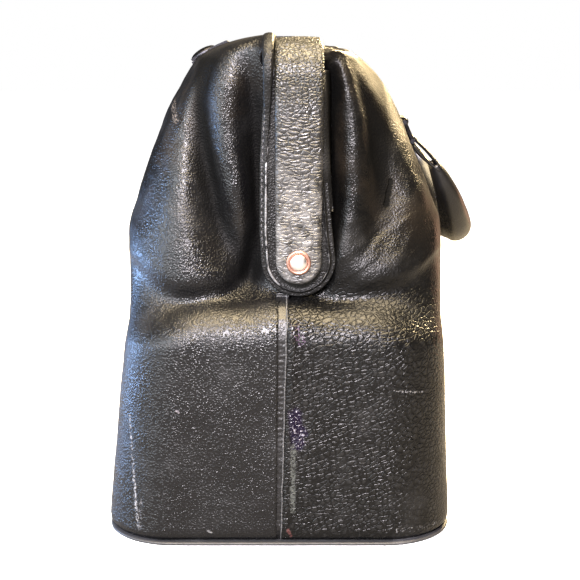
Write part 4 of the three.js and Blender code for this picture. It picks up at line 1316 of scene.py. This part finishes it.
# ---------------------------------------------------------------- stage
def aim(obj, place, target):
    """Puts a lamp or the camera at a place and turns it to a target."""
    obj.location = place
    obj.rotation_euler = (Vector(target) - Vector(place)).to_track_quat("-Z", "Y").to_euler()


def staged(name, data):
    """A new object of the stage, linked to the scene."""
    obj = bpy.data.objects.new(name, data)
    bpy.context.scene.collection.objects.link(obj)
    return obj


def lamp(name, place, target, size, power, colour):
    """A rectangular lamp that the camera doesn't see."""
    data = bpy.data.lights.new(name, "AREA")
    data.energy = power
    data.color = colour
    data.shape = "RECTANGLE"
    data.size, data.size_y = size
    obj = staged(name, data)
    aim(obj, place, target)
    obj.visible_camera = False


def lights():
    """The lamps, each with its place, target, size, power in watts and colour."""
    end = (0.18, 0, 0.15)
    lamp("warm_overhead", (0.32, 0.1, 1.1), (0.14, 0.02, 0.15), (0.9, 0.7), 56, (1.0, 0.80, 0.50))
    lamp("window_front", (1.35, -0.15, 0.85), end, (0.5, 0.22), 60, (1.0, 0.93, 0.99))
    lamp("window_left", (0.95, -0.95, 0.6), end, (0.75, 0.6), 18, (0.86, 0.93, 1.0))
    lamp("window_side", (0.36, -0.95, 0.26), end, (0.5, 0.4), 5, (0.9, 0.95, 1.0))
    lamp("window_near", (1.25, 0.22, 0.22), end, (0.25, 0.2), 1.5, (1.0, 0.98, 0.98))
    lamp("blue_left", (-0.12, -0.7, 0.06), (0.12, -0.08, 0.06), (0.3, 0.12), 5.0, (0.34, 0.56, 1.0))
    lamp("gold_right", (-0.6, 0.45, 0.62), (0.1, 0.08, 0.2), (0.3, 0.3), 36, (1.0, 0.76, 0.42))
    lamp("brown_right", (-0.5, 0.6, 0.1), (0.1, 0.08, 0.08), (0.3, 0.2), 0.4, (1.0, 0.55, 0.35))


def world():
    """A white background for the camera, and a dim cool one for everything else."""
    made = bpy.data.worlds.new("pale_room")
    bpy.context.scene.world = made
    made.use_nodes = True
    tree = made.node_tree
    tree.nodes.clear()
    seen = tree.nodes.new("ShaderNodeLightPath")
    white = tree.nodes.new("ShaderNodeBackground")
    white.inputs["Color"].default_value = rgb(1, 1, 1)
    dim = tree.nodes.new("ShaderNodeBackground")
    dim.inputs["Color"].default_value = rgb(0.5, 0.52, 0.56)
    dim.inputs["Strength"].default_value = 0.10
    mix = tree.nodes.new("ShaderNodeMixShader")
    out = tree.nodes.new("ShaderNodeOutputWorld")
    tree.links.new(seen.outputs["Is Camera Ray"], mix.inputs[0])
    tree.links.new(dim.outputs[0], mix.inputs[1])
    tree.links.new(white.outputs[0], mix.inputs[2])
    tree.links.new(mix.outputs[0], out.inputs[0])


FLOOR = {"half": 6, "shade": (0.19, 0.09)}  # its half width, and the reach along X and Y of the shade painted round the bag


def floor():
    """A pale floor that the camera sees as white but for a painted shade round the bag, and that stays dim in
    the leather's reflections.
    """
    half = FLOOR["half"]
    mesh = bpy.data.meshes.new("floor")
    square = [(-half, -half, 0), (half, -half, 0), (half, half, 0), (-half, half, 0)]
    mesh.from_pydata(square, [], [(0, 1, 2, 3)])
    sh = Shader("pale_floor")
    seen = sh.node("ShaderNodeLightPath").outputs["Is Camera Ray"]
    x, y = (sh.times(sh.axis(k), 1 / FLOOR["shade"][k]) for k in (0, 1))
    reach = sh.math("SQRT", sh.plus(sh.times(x, x), sh.times(y, y)))
    # painted shadow: the floor glows less close to the bag
    glow_with_painted_shade = sh.ramp(reach, 0.9, 1.9, 0.55, 1.0)
    base = sh.mix(seen, rgb(0.16, 0.16, 0.165), rgb(0.8, 0.8, 0.8))
    sh.set(Base_Color=base, Roughness=0.8, Emission_Color=rgb(1, 1, 1), Specular_IOR_Level=0.1,
           Emission_Strength=sh.times(seen, glow_with_painted_shade))
    mesh.materials.append(sh.material)
    staged("floor", mesh)


CAMERA = {"place": (0.810, 0, 0.262), "target": (0.190, 0, 0.134), "lens_mm": 77.3, "shift": (0.0086, 0.0160)}


def camera():
    """The photo's view: the end of the bag, from slightly above."""
    data = bpy.data.cameras.new("camera")
    obj = staged("camera", data)
    aim(obj, CAMERA["place"], CAMERA["target"])
    data.sensor_width = 36
    data.lens = CAMERA["lens_mm"]
    data.shift_x, data.shift_y = CAMERA["shift"]
    data.clip_start = 0.01
    bpy.context.scene.camera = obj


# ---------------------------------------------------------------- build
FLECK = (0.22, 0.22, 0.23)
FRONT_MARKS = (
    scar((-82.5, 68), (-80.5, 40), 0.8, FLECK, 0.7, 0.12, 1.0, 0.50),
    scar((-80.5, 40), (-78.6, 10), 1.0, FLECK, 0.7, 0.12, 1.2, 0.48),
    scar((-76.5, 24), (-77.5, 8), 1.2, (0.10, 0.10, 0.105), 0.7, -0.1, 1.0, 0.5),
    scar((-56.2, 75), (-55.2, 74), 0.7, (0.10, 0.09, 0.10), 0.7, -0.1),
    scar((-41, 9), (-39, 8), 0.6, (0.12, 0.12, 0.12), 0.7, -0.1),
    scar((-63, 236), (-58, 222), 2.4, (0.10, 0.085, 0.075), 0.7, 0.05, 1.2, 0.5),
    scar((-38, 249), (-40.5, 239), 0.7, (0.002, 0.002, 0.002), 0.9, -0.3, 0.9),
)
TORN = (0.004, 0.002, 0.010)
REAR_MARKS = (
    scar((5.0, 73), (6.5, 57), 4.6, TORN, 0.16, -0.35, 1.4),
    scar((6.5, 66), (10.4, 63), 2.6, TORN, 0.16, -0.3, 1.2),
    scar((5.0, 74), (8.6, 58), 4.4, (0.40, 0.38, 0.44), 0.7, 0.2, 1.2, 0.57),
    scar((4.4, 56), (4.0, 20), 1.8, (0.05, 0.054, 0.05), 0.55, 0.0, 1.2, 0.42),
    # painted highlight: a purple sheen painted on the raised ridge beside the end seam, just under the
    # shoulder
    scar((5, 119), (8.5, 111), 3.0, (0.07, 0.045, 0.08), 0.3, 0.0, 1.2, 0.54),
    scar((1.6, 9.5), (3.0, 6.0), 1.1, (0.06, 0.022, 0.02), 0.6, 0.1, 0.8, 0.4),
    scar((53, 9), (84, 8), 1.6, (0.16, 0.16, 0.165), 0.7, 0.05, 1.0, 0.58),
    scar((56.5, 85.5), (73, 83), 0.45, (0.14, 0.14, 0.145), 0.6, 0.1, 0.7, 0.46),
    scar((56.0, 190), (53.2, 178), 1.7, (0.001, 0.001, 0.001), 1.0, -0.9, 1.0),
)


def warm_top(sh, base):
    """A trace of brown in the leather above the shoulder, where the black has worn thin."""
    thin = sh.noise(sh.scaled(24), 4.0, 0.6)
    share = sh.times(sh.ramp(thin, 0.45, 0.7, 0.0, 0.55), sh.ramp(sh.axis(2), 0.14, 0.2))
    return sh.mix(share, base, rgb(0.022, 0.017, 0.012))


def painted_arm_sheen(sh, base):
    """Painted sheen: the strap is made lighter grey in uneven patches low on its arms, down to the hinges,
    where it catches the light.
    """
    uneven = sh.noise(sh.scaled(150))
    share = sh.times(sh.ramp(sh.axis(2), 0.175, 0.215, 1.0, 0.0), sh.ramp(uneven, 0.3, 0.7))
    return sh.mix(share, base, rgb(0.12, 0.117, 0.115))


def dull_shaded_top(sh):
    """The strap is less shiny over the top, and its colour there is a little darker and warmer: painted shade
    that tones down the light on the top.
    """
    return sh.ramp(sh.axis(2), 0.222, 0.25), (0.010, 0.009, 0.006), 0.38, 0.0


front_leather = leather("front_leather", speckle, rough=0.28, relief=0.32, marks=FRONT_MARKS, tint=warm_top,
                        folds=(52, 252), rubbed=(0.35, 0.010), colour=(0.003, 0.003, 0.0035), shine=0.40)
rear_leather = leather("rear_leather", pebbles, rough=0.28, relief=0.34, marks=REAR_MARKS, tint=warm_top,
                       folds=(60, 252), rubbed=(0.8, 0.015), colour=(0.0025, 0.0025, 0.0025), shine=0.25)
strap_leather = leather("strap_leather", strap_grain, colour=(0.012, 0.0115, 0.011), rough=0.30, relief=0.46,
                        shine=0.6, tint=painted_arm_sheen, marks=(dull_shaded_top,))
edge_leather = leather("edge_leather", speckle, rough=0.38, relief=0.3, shine=0.25, rubbed=(0.2, 0.01))
welt_leather = leather("welt_leather", speckle, colour=(0.03, 0.03, 0.032), rough=0.5, relief=0.15)
seam_leather = leather("seam_leather", speckle, colour=(0.004, 0.004, 0.0045), rough=0.4, relief=0.15)
worn_edge = leather("worn_edge", speckle, colour=(0.06, 0.06, 0.062), rough=0.45, relief=0.3)
# painted highlight: the bead is light grey to stand for the line of light along it
painted_highlight_bead = leather("painted_highlight_bead", speckle, colour=(0.14, 0.14, 0.145), rough=0.36, relief=0.2, shine=1.0)
handle_leather = leather("handle_leather", speckle, colour=(0.005, 0.0048, 0.005), rough=0.30, relief=0.05)
dark_thread = thread("dark_thread", (0.045, 0.045, 0.05))
cord = thread("cord", (0.35, 0.28, 0.19))
lining_cloth = woven("lining_cloth", (0.085, 0.05, 0.03), 1.1)
board = fibreboard()
nickel = plain_metal("nickel", (0.95, 0.94, 0.92), 0.32)
copper = plain_metal("copper", (0.48, 0.27, 0.21), 0.36)
gunmetal = plain_metal("gunmetal", (0.03, 0.03, 0.034), 0.36)
steel = plain_metal("steel", (0.5, 0.5, 0.51), 0.35)

leather_sheet("front", FRONT_FOLDS, front_leather)
leather_sheet("rear", REAR_FOLDS, rear_leather)
rear_strap()
front_strap()
lip()
welt()
chapes()
chape_rivets()
hasp_boss()
grip()
handle_tabs()
for side_label, side_sign in ENDS:
    seam_band(side_sign, side_label)
    hinge_rivet(side_sign, side_label)
    gusset(side_sign, side_label)
finish_nodes()

bpy.context.scene.view_settings.view_transform = "Standard"
world()
floor()
lights()
camera()
